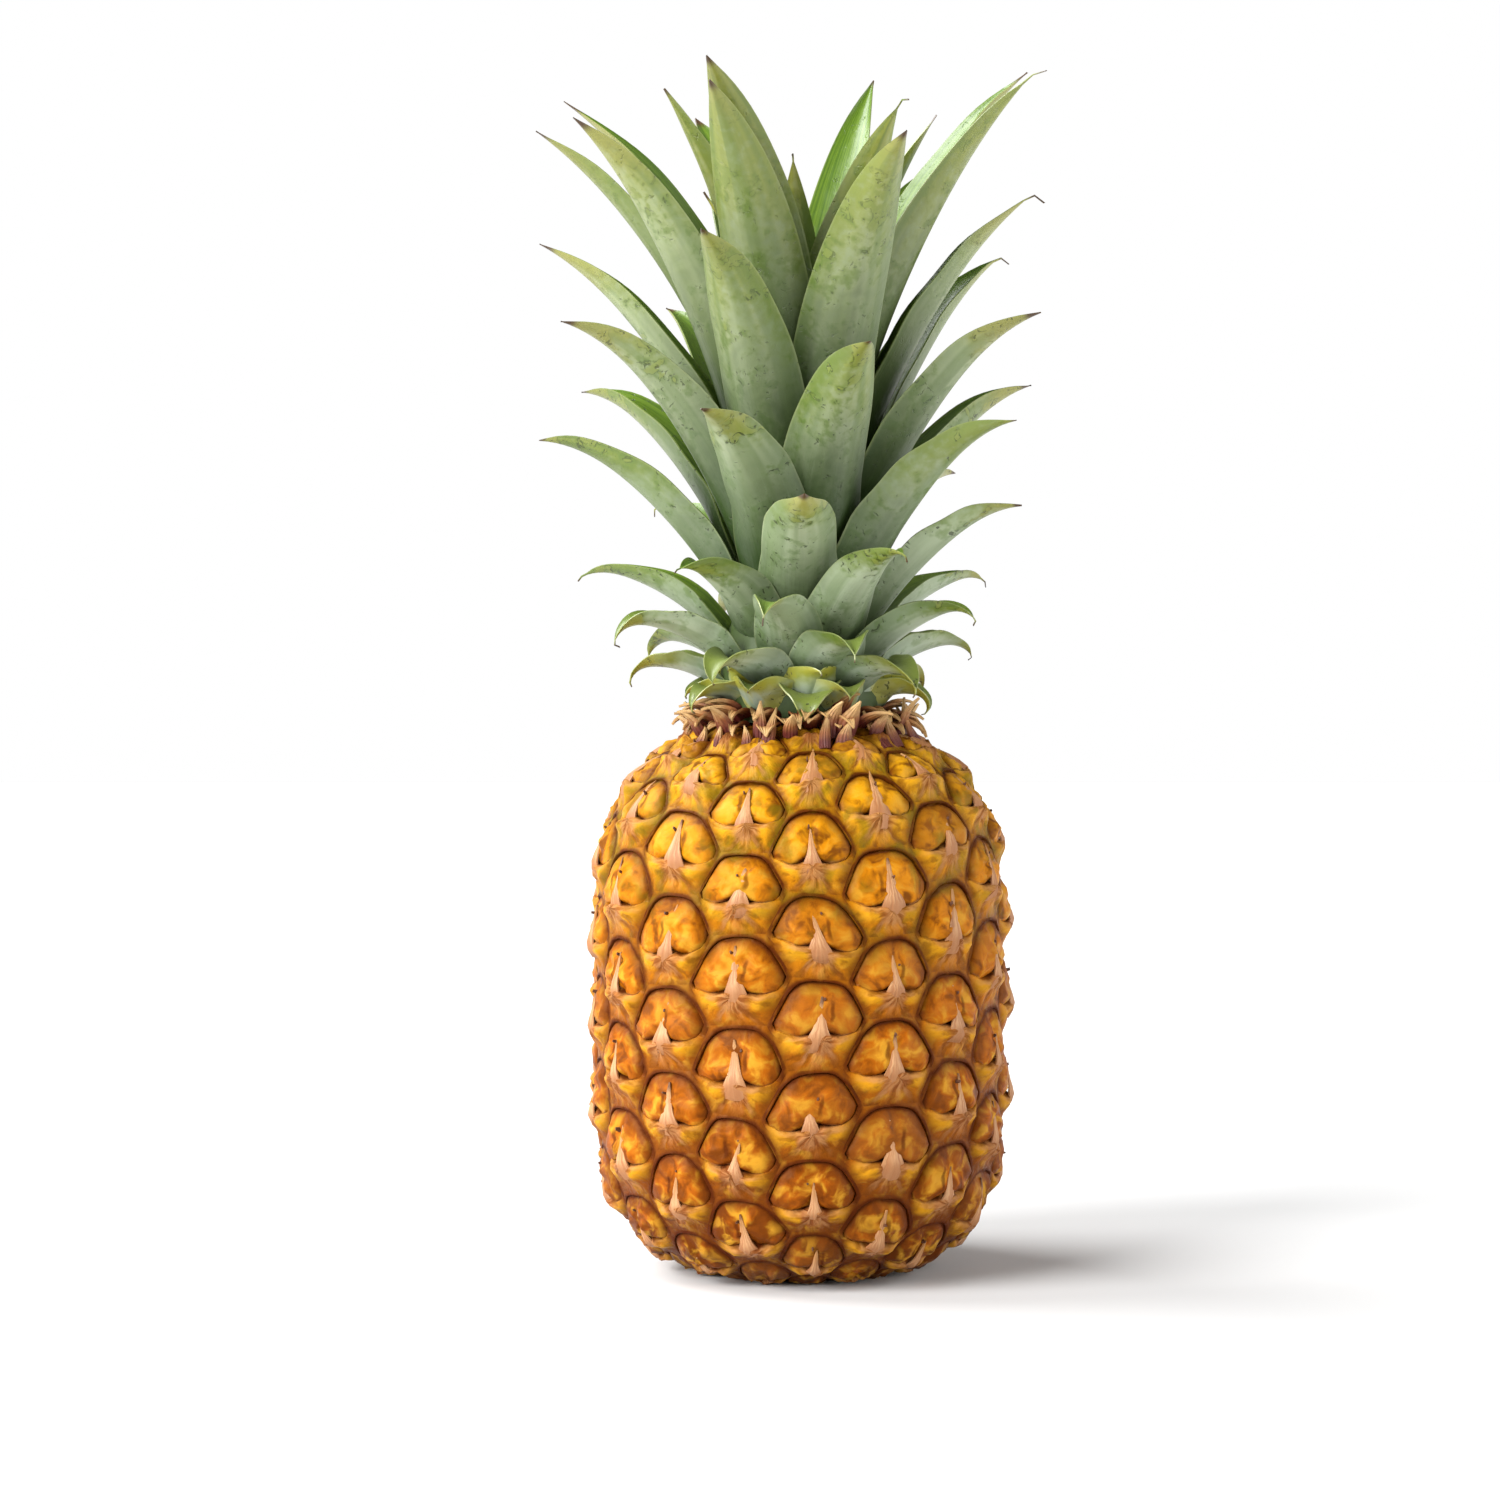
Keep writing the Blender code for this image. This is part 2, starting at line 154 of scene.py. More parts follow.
def drift(waves, turn, level):
    """The sum of some waves, at turns in radians and levels in mm."""
    return sum(size * np.sin(count * turn + level / length + start) for size, count, length, start in waves)


def on_rind(eye, along, up, lift):
    """Points of the rind, in metres, at mm along and up from an eye's centre and mm out of the skin."""
    number = eye + up / EYE_RISE
    azimuth = FIRST_AZIMUTH + eye * EYE_TURN + along * math.degrees(1 / FRUIT_RADIUS)
    turn, level = np.radians(azimuth), number * EYE_RISE
    azimuth = azimuth + drift(WAVES_ROUND, turn, level)
    number = number + drift(WAVES_UP, turn, level)
    radius, height, outward, upward = on_barrel(number)
    rise = lift * eye_scale(radius) * np.minimum(1.0, RELIEF_FADE * np.maximum(outward, 0.0))
    return around(azimuth, radius + rise * outward, height + rise * upward) * MM


def cell_ring():
    """Centres of the six eyes round one eye, in mm along and up the widest part of the fruit.

    The nearest ones above it, at its right and left, are 9 and 8 eyes further up the spiral.
    """
    column = math.radians(EYE_TURN / 2) * FRUIT_RADIUS
    right_up, left_up = Vector((column, 9 * EYE_RISE)), Vector((-column, 8 * EYE_RISE))
    return [right_up, right_up + left_up, left_up, -right_up, -right_up - left_up, -left_up]


def cell_corners(ring):
    """Corners of the cell round one eye, each as far from the eye as from two of its neighbours."""
    corners = []
    for first, second in zip(ring, ring[1:] + ring[:1]):
        area = 2 * (first.x * second.y - first.y * second.x)
        x = second.y * first.length_squared - first.y * second.length_squared
        y = first.x * second.length_squared - second.x * first.length_squared
        corners.append(Vector((x / area, y / area)))
    return corners


def smile(along):
    """Height of the line under an eye's button, at distances along from its middle."""
    share = np.clip((np.abs(along) - SMILE_START) / SMILE_LENGTH, 0, 1)
    return SMILE_LEVEL - SMILE_DIP * np.sin(np.pi * share)


def arch(along, up):
    """How far out a point lies from the button's arch: 1 is on the arch."""
    top = np.maximum(up, 0) / ARCH_TOP
    slant = np.maximum(np.abs(along) * SLANT[0] + up * SLANT[1], 0) / ARCH_SLANT
    side = np.abs(along) / ARCH_SIDE
    return (top**ARCH_ROUNDING + slant**ARCH_ROUNDING + side**ARCH_ROUNDING) ** (1 / ARCH_ROUNDING)


def arch_distance(along, up):
    """About how many mm a point lies outside a button's arch, or below the arch's feet."""
    return np.maximum(arch(along, up) - 1, 0) * ARCH_SIZE + np.maximum(ARCH_FOOT - up, 0) * FOOT_FALL


def button_reach(direction):
    """Distance from the button's centre to its edge."""
    reach = np.arange(0.0, EYE_MAP_SIZE / 2, 0.02)
    along = BUTTON_CENTRE[0] + direction.x * reach
    up = BUTTON_CENTRE[1] + direction.y * reach
    outside = (arch(along, up) > 1) | (up < smile(along))
    return reach[np.argmax(outside)]


def hexagon_share(along, up, corners):
    """0 at a cell's centre and 1 at its edge."""
    share = np.zeros_like(along)
    for first, second in zip(corners, corners[1:] + corners[:1]):
        normal = Vector((second.y - first.y, first.x - second.x))
        share = np.maximum(share, (normal.x * along + normal.y * up) / normal.dot(first))
    return share


def deselect():
    """Leaves edit mode and deselects everything."""
    if bpy.context.object and bpy.context.object.mode != "OBJECT":
        bpy.ops.object.mode_set(mode="OBJECT")
    bpy.ops.object.select_all(action="DESELECT")


def vertices(obj):
    """The places of an object's vertices, as rows."""
    places = np.empty(len(obj.data.vertices) * 3)
    obj.data.vertices.foreach_get("co", places)
    return places.reshape(-1, 3)


def move_vertices(obj, places):
    """Puts an object's vertices at new places."""
    obj.data.vertices.foreach_set("co", np.ascontiguousarray(places, dtype=np.float32).ravel())
    obj.data.update()


def add_map(obj, name, values):
    """Gives an object a UV map with a pair of values for each vertex."""
    layer = obj.data.uv_layers.new(name=name)
    corners = np.empty(len(obj.data.loops), dtype=np.int32)
    obj.data.loops.foreach_get("vertex_index", corners)
    layer.data.foreach_set("uv", np.asarray(values, dtype=np.float32)[corners].ravel())


def add_luck(obj, chance):
    """Gives an object a map with two numbers of its own, the same all over it."""
    add_map(obj, "luck", np.full((len(obj.data.vertices), 2), (chance.random(), chance.random())))


def copy_of(original, name):
    """A copy of an object, with its own mesh."""
    made = original.copy()
    made.data = original.data.copy()
    made.name = made.data.name = name
    bpy.context.scene.collection.objects.link(made)
    return made


def join(pieces, name, blank):
    """Joins the copies of a blank into one object, and removes the blank."""
    bpy.data.objects.remove(blank)
    deselect()
    for piece in pieces:
        piece.select_set(True)
    bpy.context.view_layer.objects.active = pieces[0]
    bpy.ops.object.join()
    pieces[0].name = pieces[0].data.name = name
    return pieces[0]


def smooth(degrees):
    """Shades the active object smooth, apart from edges sharper than an angle."""
    bpy.ops.object.shade_smooth_by_angle(angle=math.radians(degrees))


# One eye's blank: a disc with a ring for each step from its edge to its middle
deselect()
bpy.ops.mesh.primitive_circle_add(vertices=EYE_SPOKES, radius=2.0, fill_type="NGON")
eye_blank = bpy.context.object
bpy.ops.object.mode_set(mode="EDIT")
ring_shares = [2.0] + [1 + share for share in SKIRT_RINGS] + [1.0] + list(BUTTON_RINGS)
for outer, inner in zip(ring_shares, ring_shares[1:]):
    bpy.ops.mesh.inset(thickness=(outer - inner) * math.cos(math.pi / EYE_SPOKES))
bpy.ops.mesh.poke()
bpy.ops.object.mode_set(mode="OBJECT")

# The disc's rings are stretched to the button's edge and on to the cell's six sides
neighbours = cell_ring()
corners = cell_corners(neighbours)
disc = vertices(eye_blank)
ring_share = np.hypot(disc[:, 0], disc[:, 1])
spokes = np.round(np.arctan2(disc[:, 1], disc[:, 0]) / (2 * math.pi / EYE_SPOKES)).astype(int) % EYE_SPOKES
along, up = np.empty(len(disc)), np.empty(len(disc))
for spoke in range(EYE_SPOKES):
    place = spoke / EYE_SPOKES * 6
    corner = int(place) % 6
    side = corners[corner].lerp(corners[(corner + 1) % 6], place - int(place))
    from_centre = side - Vector(BUTTON_CENTRE)
    reach = min(button_reach(from_centre.normalized()), 0.9 * from_centre.length)
    on_spoke = spokes == spoke
    share = ring_share[on_spoke]
    distance = np.where(share <= 1, share * reach, reach + (share - 1) * (from_centre.length - reach))
    along[on_spoke] = BUTTON_CENTRE[0] + from_centre.normalized().x * distance
    up[on_spoke] = BUTTON_CENTRE[1] + from_centre.normalized().y * distance
cell_share = hexagon_share(along, up, corners)
button = np.clip(ring_share, 0, 1)
past_button = np.maximum(ring_share - 1, 0) * np.hypot(along - BUTTON_CENTRE[0], up - BUTTON_CENTRE[1])
off_arch = [arch_distance(along - eye.x, up - eye.y) for eye in neighbours]
hidden_by_button = (arch(along, up) < 0.999) & (ring_share > 1)
off_arch.append(np.where(hidden_by_button, FAR_OFF, arch_distance(along, up)))
arch_gap = np.min(off_arch, axis=0)
side_along = np.abs(along)

# The skin's relief over an eye, in mm: the button's groove, slope, valley and dimples, and the
# star, shoulders, creases and folds of the bract below it
GROOVE_RIM, GROOVE_SMILE, GROOVE_ARCH = 0.2, 0.8, 1.2
SLOPE_PLACES, SLOPE_LIFTS, SLOPE_STRAY = (-4, -1, 4, 11), (1.1, 1.4, 1.0, -0.2), 0.4
VALLEY_DEPTH, VALLEY_WIDTH = 0.6, 1.9
DIMPLE_DEPTH, DIMPLE_PLACE, DIMPLE_SIZE = 0.8, (4.6, 2.8), (2.3, 2.6)
STAR_LIFT, STAR_SIZE = 2.2, (5.0, 4.0)
SHOULDER_LIFT, SHOULDER_PLACE, SHOULDER_SIZE = 1.5, (7.2, -5.6), (3.2, 2.3)
CREASE_DEPTH, CREASE_WIDTH, CREASE_HEADING = 1.0, 0.8, (0.76, 0.65)
FOLD_DEPTH, FOLD_PITCH, FOLD_TOP, FOLD_REACH = 0.4, 2.1, -6.5, 5.0
WALL_WIDTH = 0.5
WOBBLES, WOBBLE_SIZE, WOBBLE_PITCH = 8, (0.08, 0.28), 1.5
EYE_SINK, EYE_SWELL = 1.2, 1.1
# How far an eye may turn, grow and slip, in degrees, shares and mm
EYE_TILT, EYE_GROWTH, EYE_SLIP = 4, (-0.06, 0.04), (0.8, 0.7)
MERGE_DISTANCE = 0.01


def mound(along, up, place, size):
    """1 at a place, and falling off round it."""
    return np.exp(-(((along - place[0]) / size[0]) ** 2 + ((up - place[1]) / size[1]) ** 2))


def eye_relief(chance):
    """Height of the skin over one eye's blank, with small differences from eye to eye."""
    on_arch = np.clip((up + 3.0) / 2.5, 0, 1)
    near_middle = np.clip((8.0 - side_along) / 4, 0, 1)
    groove = GROOVE_RIM - GROOVE_SMILE * near_middle * (1 - on_arch) - GROOVE_ARCH * on_arch
    slope = np.interp(up, SLOPE_PLACES, SLOPE_LIFTS) + chance.uniform(-SLOPE_STRAY, SLOPE_STRAY)
    valley = VALLEY_DEPTH * np.exp(-(along / VALLEY_WIDTH) ** 2)
    dimples = sum(chance.uniform(0.0, DIMPLE_DEPTH) * mound(side * along, up, DIMPLE_PLACE, DIMPLE_SIZE)
                  for side in (-1, 1))
    lobes = groove + (slope - valley - dimples - groove) * np.maximum(1 - button**4, 0) ** 0.6
    star = STAR_LIFT * mound(along, up, (0, STAR_HEIGHT), STAR_SIZE)
    shoulders = SHOULDER_LIFT * mound(side_along, up, SHOULDER_PLACE, SHOULDER_SIZE)
    off_crease = side_along * CREASE_HEADING[0] + (up - STAR_HEIGHT) * CREASE_HEADING[1]
    creases = -CREASE_DEPTH * np.exp(-((off_crease / CREASE_WIDTH) ** 2)) * np.clip(side_along / 2.0, 0, 1)
    folded = np.clip((FOLD_TOP - up) / 2, 0, 1) * np.clip(1 - side_along / FOLD_REACH, 0, 1)
    folds = -FOLD_DEPTH * np.cos(along * FOLD_PITCH) * folded
    cell_fade = 1 - cell_share**8
    wall = 1 - np.exp(-((past_button / WALL_WIDTH) ** 2))
    skirt = groove + ((star + shoulders + creases + folds) * cell_fade - groove) * wall
    wobble = sum(chance.uniform(*WOBBLE_SIZE) * np.sin(along * chance.uniform(-WOBBLE_PITCH, WOBBLE_PITCH)
                                                       + up * chance.uniform(-WOBBLE_PITCH, WOBBLE_PITCH)
                                                       + chance.uniform(0, 6.3))
                 for _ in range(WOBBLES))
    swell = EYE_SWELL * (1 - cell_share**2)
    return swell - EYE_SINK + np.where(ring_share <= 1, lobes, skirt) + wobble * (1 - cell_share**3)


# Each eye is a copy of the blank, laid on the barrel. All are then welded into one skin, cut flat
# at the fruit's base and top, and cleared of the slivers that folded over there.
chance = random.Random(17)
eyes = []
for eye in range(FIRST_EYE, LAST_EYE + 1):
    made = copy_of(eye_blank, f"eye_{eye}")
    relief = eye_relief(chance)
    loose = 1 - cell_share**3
    turn, grow = math.radians(chance.uniform(-EYE_TILT, EYE_TILT)), chance.uniform(*EYE_GROWTH)
    slip_along, slip_up = (chance.uniform(-most, most) for most in EYE_SLIP)
    own_along = along + loose * (along * grow - up * turn + slip_along)
    own_up = up + loose * (up * grow + along * turn + slip_up)
    move_vertices(made, on_rind(eye, own_along, own_up, relief))
    add_map(made, "eye", np.stack([along, up], axis=1) / EYE_MAP_SIZE + 0.5)
    add_luck(made, chance)
    add_map(made, "gap", np.stack([np.clip(arch_gap / MAP_GAP, 0, 1), cell_share], axis=1))
    eyes.append(made)
rind = join(eyes, "rind", eye_blank)
bpy.ops.object.mode_set(mode="EDIT")
bpy.ops.mesh.select_all(action="SELECT")
bpy.ops.mesh.remove_doubles(threshold=MERGE_DISTANCE * MM)
for height, normal in ((0.0, (0, 0, -1)), (TOP_SEAT, (0, 0, 1))):
    bpy.ops.mesh.select_all(action="SELECT")
    bpy.ops.mesh.bisect(plane_co=(0, 0, height * MM), plane_no=normal, use_fill=True, clear_outer=True)
bpy.ops.mesh.select_all(action="DESELECT")
mesh = bmesh.from_edit_mesh(rind.data)
widest = max(mesh.verts, key=lambda vertex: vertex.co.x)
widest.select_set(True)
mesh.select_flush(True)
bpy.ops.mesh.select_linked()
bpy.ops.mesh.select_all(action="INVERT")
bpy.ops.mesh.delete(type="VERT")
bpy.ops.mesh.select_all(action="SELECT")
bpy.ops.mesh.normals_make_consistent(inside=False)
bpy.ops.object.mode_set(mode="OBJECT")
smooth(75)


class Shade:
    """A value or colour in a material, for sums written as plain expressions."""

    def __init__(self, finish, socket):
        self.finish, self.socket = finish, socket

    def maths(self, operation, *others):
        """A Math node on this value and others."""
        return self.finish.node("ShaderNodeMath", {"operation": operation}, dict(enumerate((self, *others))))

    __add__ = __radd__ = partialmethod(maths, "ADD")
    __sub__ = partialmethod(maths, "SUBTRACT")
    __mul__ = __rmul__ = partialmethod(maths, "MULTIPLY")
    __truediv__ = partialmethod(maths, "DIVIDE")
    __pow__ = partialmethod(maths, "POWER")
    __abs__ = partialmethod(maths, "ABSOLUTE")
    # The smaller and the larger of two values, and the sine of one in radians
    least = partialmethod(maths, "MINIMUM")
    most = partialmethod(maths, "MAXIMUM")
    sine = partialmethod(maths, "SINE")

    def __rsub__(self, other):
        return self.finish.node("ShaderNodeMath", {"operation": "SUBTRACT"}, {0: other, 1: self})

    def step(self, low, high):
        """Rises smoothly from 0 at low to 1 at high, or falls where high is the lower one."""
        settings = {"interpolation_type": "SMOOTHSTEP"}
        if low > high:
            return 1 - self.step(high, low)
        return self.finish.node("ShaderNodeMapRange", settings, {"Value": self, "From Min": low, "From Max": high})


def socket_name(name):
    """A shader socket's name, from a keyword such as base_color."""
    return name.replace("_", " ").title().replace("Ior", "IOR")


class Finish:
    """A material, with one method that adds its nodes."""

    def __init__(self, name, **uniform):
        self.material = bpy.data.materials.new(name)
        self.material.use_nodes = True
        self.tree = self.material.node_tree
        self.shader = self.tree.nodes["Principled BSDF"]
        for socket, value in uniform.items():
            self.shader.inputs[socket_name(socket)].default_value = value

    def node(self, kind, settings=None, inputs=None, output=0):
        """Adds a node of a kind, with its settings, and its sockets' values or links."""
        made = self.tree.nodes.new(kind)
        for name, setting in (settings or {}).items():
            if name == "stops":
                ramp = made.color_ramp
                while len(ramp.elements) < len(setting):
                    ramp.elements.new(1.0)
                for element, (position, colour) in zip(ramp.elements, setting):
                    element.position, element.color = position, (*colour, 1.0)
            else:
                setattr(made, name, setting)
        for name, value in (inputs or {}).items():
            if isinstance(value, Shade):
                self.tree.links.new(value.socket, made.inputs[name])
            else:
                made.inputs[name].default_value = value
        return Shade(self, made.outputs[output])

    def noise(self, place, scale, detail=3.0, output="Fac", **more):
        """Cloudy noise at a place, about 0.5 on the whole."""
        inputs = {"Vector": place, "Scale": scale, "Detail": detail, **more}
        return self.node("ShaderNodeTexNoise", {"noise_dimensions": "3D"}, inputs, output)

    def parts(self, vector):
        """The three values of a vector or colour."""
        made = self.node("ShaderNodeSeparateXYZ", {}, {"Vector": vector})
        return [Shade(self, socket) for socket in made.socket.node.outputs]

    def point(self, x, y, z):
        """A vector made of three values."""
        return self.node("ShaderNodeCombineXYZ", {}, {"X": x, "Y": y, "Z": z})

    def place(self):
        """Where a point of the object is, in metres."""
        return self.node("ShaderNodeTexCoord", output="Object")

    def map(self, name):
        """The two values of one of the object's maps."""
        return self.parts(self.node("ShaderNodeUVMap", {"uv_map": name}))[:2]

    def mix(self, share, first, second):
        """A colour between two others, which are three numbers or shades."""
        first, second = (colour if isinstance(colour, Shade) else (*colour, 1.0) for colour in (first, second))
        return self.node("ShaderNodeMix", {"data_type": "RGBA"}, {0: share, 6: first, 7: second}, output=2)

    def layers(self, colour, *coats):
        """A colour under some coats, each with its share of cover and its screen colour."""
        for share, screen_colour in coats:
            colour = self.mix(share, colour, tone(*screen_colour))
        return colour

    def feed(self, **values):
        """Links values into the shader's sockets."""
        for name, value in values.items():
            self.tree.links.new(value.socket, self.shader.inputs[socket_name(name)])

    def bump(self, height, distance, strength):
        """Links a height into the shader's normal, through a Bump node."""
        made = self.node("ShaderNodeBump", {}, {"Height": height, "Distance": distance, "Strength": strength})
        self.tree.links.new(made.socket, self.shader.inputs["Normal"])


# How much lighter than its own colour a pale surface looks in the studio's light
STUDIO_GAIN = 1.7


def tone(red, green, blue):
    """The linear colour of a surface that looks like a screen colour, 0 to 255, in the studio's light."""
    return tuple((c / 12.92 if c <= 0.04045 else ((c + 0.055) / 1.055) ** 2.4) / STUDIO_GAIN
                 for c in (red / 255, green / 255, blue / 255))


def coat(obj, finish):
    """Gives an object one material in place of any that it had."""
    obj.data.materials.clear()
    obj.data.materials.append(finish.material)


# Where a point is: u and v are mm along and up from its eye's centre, a little warped, luck is
# the eye's own number, and gap is small near any button's arch
skin = Finish("rind", specular_ior_level=0.12, specular_tint=(1.0, 0.72, 0.4, 1.0))
place = skin.place()
luck, _ = skin.map("luck")
eye_u, eye_v = skin.map("eye")
gap, _ = skin.map("gap")
warp_u, warp_v, _ = skin.parts(skin.noise(place, 220.0, 2.0, "Color"))
u = (eye_u - 0.5) * EYE_MAP_SIZE + (warp_u - 0.5) * 2.2
v = (eye_v - 0.5) * EYE_MAP_SIZE + (warp_v - 0.5) * 2.2
side = abs(u)
arch_shade = (((v.most(0.0) / ARCH_TOP) ** ARCH_ROUNDING + ((side * SLANT[0] + v * SLANT[1]).most(0.0) / ARCH_SLANT)
               ** ARCH_ROUNDING + (side / ARCH_SIDE) ** ARCH_ROUNDING) ** (1 / ARCH_ROUNDING))
smile_share = ((side - SMILE_START) / SMILE_LENGTH).most(0.0).least(1.0)
over_smile = v - (SMILE_LEVEL - (smile_share * math.pi).sine() * SMILE_DIP)
in_button = arch_shade.step(1.0, 0.93) * over_smile.step(-0.2, 0.6)
mottle = skin.noise(place, 140.0, 4.0)

# The dark lines: the groove over the button, a dark joint that is partly painted shadow under the skirt above it,
# and painted shadows under the middle of the button and in the slit beside the bract
arch_groove_and_shadow = abs(arch_shade - 1.0).step(0.12, 0.02) * v.step(-4.5, 0.0) * (1.1 - mottle * 0.5)
smile_shadow = abs(over_smile).step(0.9, 0.1) * side.step(7.5, 3.0) * side.step(1.2, 2.4)
slit_shadow = abs(side - 2.3).step(0.9, 0.2) * v.step(-1.0, 1.0) * v.step(6.5, 4.0) * (u * (luck - 0.5)).step(0.0, 0.2)
groove = arch_groove_and_shadow.most(smile_shadow).most(slit_shadow * 0.7)

# The papery bract: a star below the button, with rays to the sides and down
below = STAR_HEIGHT - v
side_ray = abs(below + side * 0.1).step(1.7, 0.6) * side.step(11.5, 5.0)
ray_along = side * 0.645 + below * 0.764
down_ray = abs(side * 0.764 - below * 0.645).step(1.2, 0.3) * ray_along.step(9.5, 4.0) * below.step(-0.5, 0.5)
mid_ray = side.step(3.2, 1.0) * below.step(8.0, 2.0) * below.step(-1.5, 0.0)
up_ray = side.step(2.6, 1.4) * v.step(9.0, 3.0) * v.step(-5.0, -4.0)
papery = side_ray.most(down_ray).most(mid_ray).most(up_ray)
ray_turn = u.maths("ARCTAN2", below)
ray_reach = (u ** 2 + below ** 2) ** 0.5
rays = skin.noise(skin.point(ray_turn * 3.2, ray_reach * 0.22, luck * 50.0), 1.0, 3.0)
star_core = ((u * 0.9) ** 2 + (v + 5.5) ** 2).step(20.0, 3.0) * 0.85
papery = (papery * (rays.step(0.25, 0.5) * 0.4 + 0.3)).most(star_core)

# The colours turn from brown at the base through amber to gold at the top; the brown at the base is partly painted
# shade near the floor. Each button has its own patches, with painted shade at its rim and under the middle of its
# smile, and the skirt round it has yellow wings and painted shade in its creases, in its wrinkles and along its
# edge by the arches.
_, _, object_height = skin.parts(place)
height = object_height * (1 / (TOP_SEAT * MM)) + (mottle - 0.5) * 0.12
TONE_HEIGHTS = (0.0, 0.2, 0.5, 0.75, 1.0)
# The lowest tones are partly the rind's own brown and partly painted shade, darker near the floor
BUTTON_TONES = ((80, 34, 2), (160, 80, 8), (206, 112, 12), (236, 146, 12), (248, 184, 24))
SKIRT_TONES = ((84, 36, 2), (164, 86, 10), (212, 122, 14), (236, 152, 14), (248, 188, 28))
button_tone, skirt_tone = (
    skin.node("ShaderNodeValToRGB", {"stops": [(stop, tone(*colour)) for stop, colour in zip(TONE_HEIGHTS, tones)]},
              {"Fac": height})
    for tones in (BUTTON_TONES, SKIRT_TONES))
patches = skin.noise(place, 190.0, 3.0, Distortion=0.6)
button_tone = skin.layers(
    button_tone,
    (mottle.step(0.48, 0.66) * 0.6, (214, 112, 14)),
    (patches.step(0.46, 0.68) * 0.8, (246, 180, 52)),
    (patches.step(0.5, 0.3) * 0.85, (116, 54, 4)),
    (luck.step(0.6, 1.0) * 0.45, (156, 92, 34)),
    # painted shade: the button darkens towards its arch, and along the middle of its smile line
    (arch_shade.step(0.6, 0.98) * 0.8, (112, 50, 4)),
    (abs(over_smile).step(2.0, 0.0) * side.step(8.0, 3.0) * 0.5, (124, 58, 6)))
wing = side.step(3.0, 5.0) * side.step(12.5, 9.0) * abs(v + 5.2).step(3.4, 1.0)
# Painted shade in the skirt's creases, which run from the star out to its sides
crease_shade = abs(side * 0.76 - below * 0.65).step(1.8, 0.3) * side.step(1.5, 3.0)
skirt_tone = skin.layers(
    skirt_tone,
    (patches.step(0.5, 0.66) * 0.5, (242, 180, 56)),
    (wing * 0.75, (242, 172, 32)),
    # painted shade: in the creases, in the low wrinkles of the rays, and along the skirt's edge by any arch
    (crease_shade * 0.5, (122, 66, 12)),
    (rays.step(0.5, 0.32) * 0.55, (118, 58, 4)),
    (gap.step(0.5, 0.0) * 0.85, (108, 48, 4)))
olive = height.step(0.5, 0.85) * (mottle + (1 - in_button) * 0.06).step(0.5, 0.68) * 0.6
colour = skin.layers(skin.mix(in_button, skirt_tone, button_tone), (olive, (128, 112, 14)))
paper_tone = skin.mix(rays.step(0.35, 0.65), tone(156, 88, 44), tone(214, 150, 96))
colour = skin.mix(papery * (1 - in_button), colour, paper_tone)
# The grooves' dark lines are the arch's dark joint with its painted shadow, and the painted shadows under the smile
# and in the slit
colour = skin.layers(colour, (groove * 0.92, (82, 24, 0)), (height.step(0.93, 1.02) * 0.8, (126, 56, 16)))
fine = skin.noise(place, 900.0, 3.0)
skin.feed(base_color=colour, roughness=0.46 + papery * 0.2 + groove * 0.2 + (fine - 0.5) * 0.12)
skin.bump(rays * (1 - in_button) * 1.2 + fine * 0.1 + mottle * 0.7 + patches * 0.7, 0.0008, 0.8)
coat(rind, skin)
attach(rind, "root")
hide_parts("fruit")

# ---- Eye bracts ----
# The bract of each eye ends in a dry, pointed spike that stands off the button. It is papery
# and tan with a black tip, and it grew out of the rind below the button.
BRACT_ROOT, BRACT_END = -7.5, 9.6
BRACT_WALL, BRACT_KEEL = 0.45, 0.4
# Along a bract: the share of its length, half its width, and how far it stands off the skin
BRACT_LAYOUT = ((0.0, 4.2, -2.0), (0.12, 3.7, -1.4), (0.26, 2.9, -0.5), (0.4, 1.9, 0.2), (0.6, 1.1, 0.3),
                (0.8, 0.7, 0.3), (1.0, 0.2, 0.5))
BRACT_LEAN, BRACT_REACH, BRACT_SPREAD, BRACT_STAND = (-1.8, 1.8), (0.72, 1.0), (0.8, 1.2), (0.2, 1.0)
LOWEST_BRACT, HIGHEST_BRACT = 4.0, 153.0
# The bracts are longer near the fruit's top, from one height up and over the next few mm
LONGER_FROM, LONGER_OVER, LONGER_BY = 125, 20, 0.35
# The skin under a bract, as (mm up from the eye's centre) and (mm out of the barrel)
SKIN_PLACES = (-12, -8, -4.6, -2.4, 0, 3, 8, 10.7)
SKIN_LIFTS = (-0.6, 0.7, 2.0, 1.4, 0.8, 0.2, -0.6, -1.5)


def strip_blank(across, along, thickness, offset):
    """A flat strip with a wall, 2 by 2, whose vertices are later put along a bract or a leaf."""
    deselect()
    bpy.ops.mesh.primitive_grid_add(x_subdivisions=across, y_subdivisions=along, size=2.0)
    strip = bpy.context.object
    wall = strip.modifiers.new("wall", "SOLIDIFY")
    wall.thickness, wall.offset = thickness, offset
    bpy.ops.object.modifier_apply(modifier="wall")
    return strip


def skin_lift(up):
    """How far the skin under a bract stands out of the barrel."""
    return np.interp(up, SKIN_PLACES, SKIN_LIFTS)


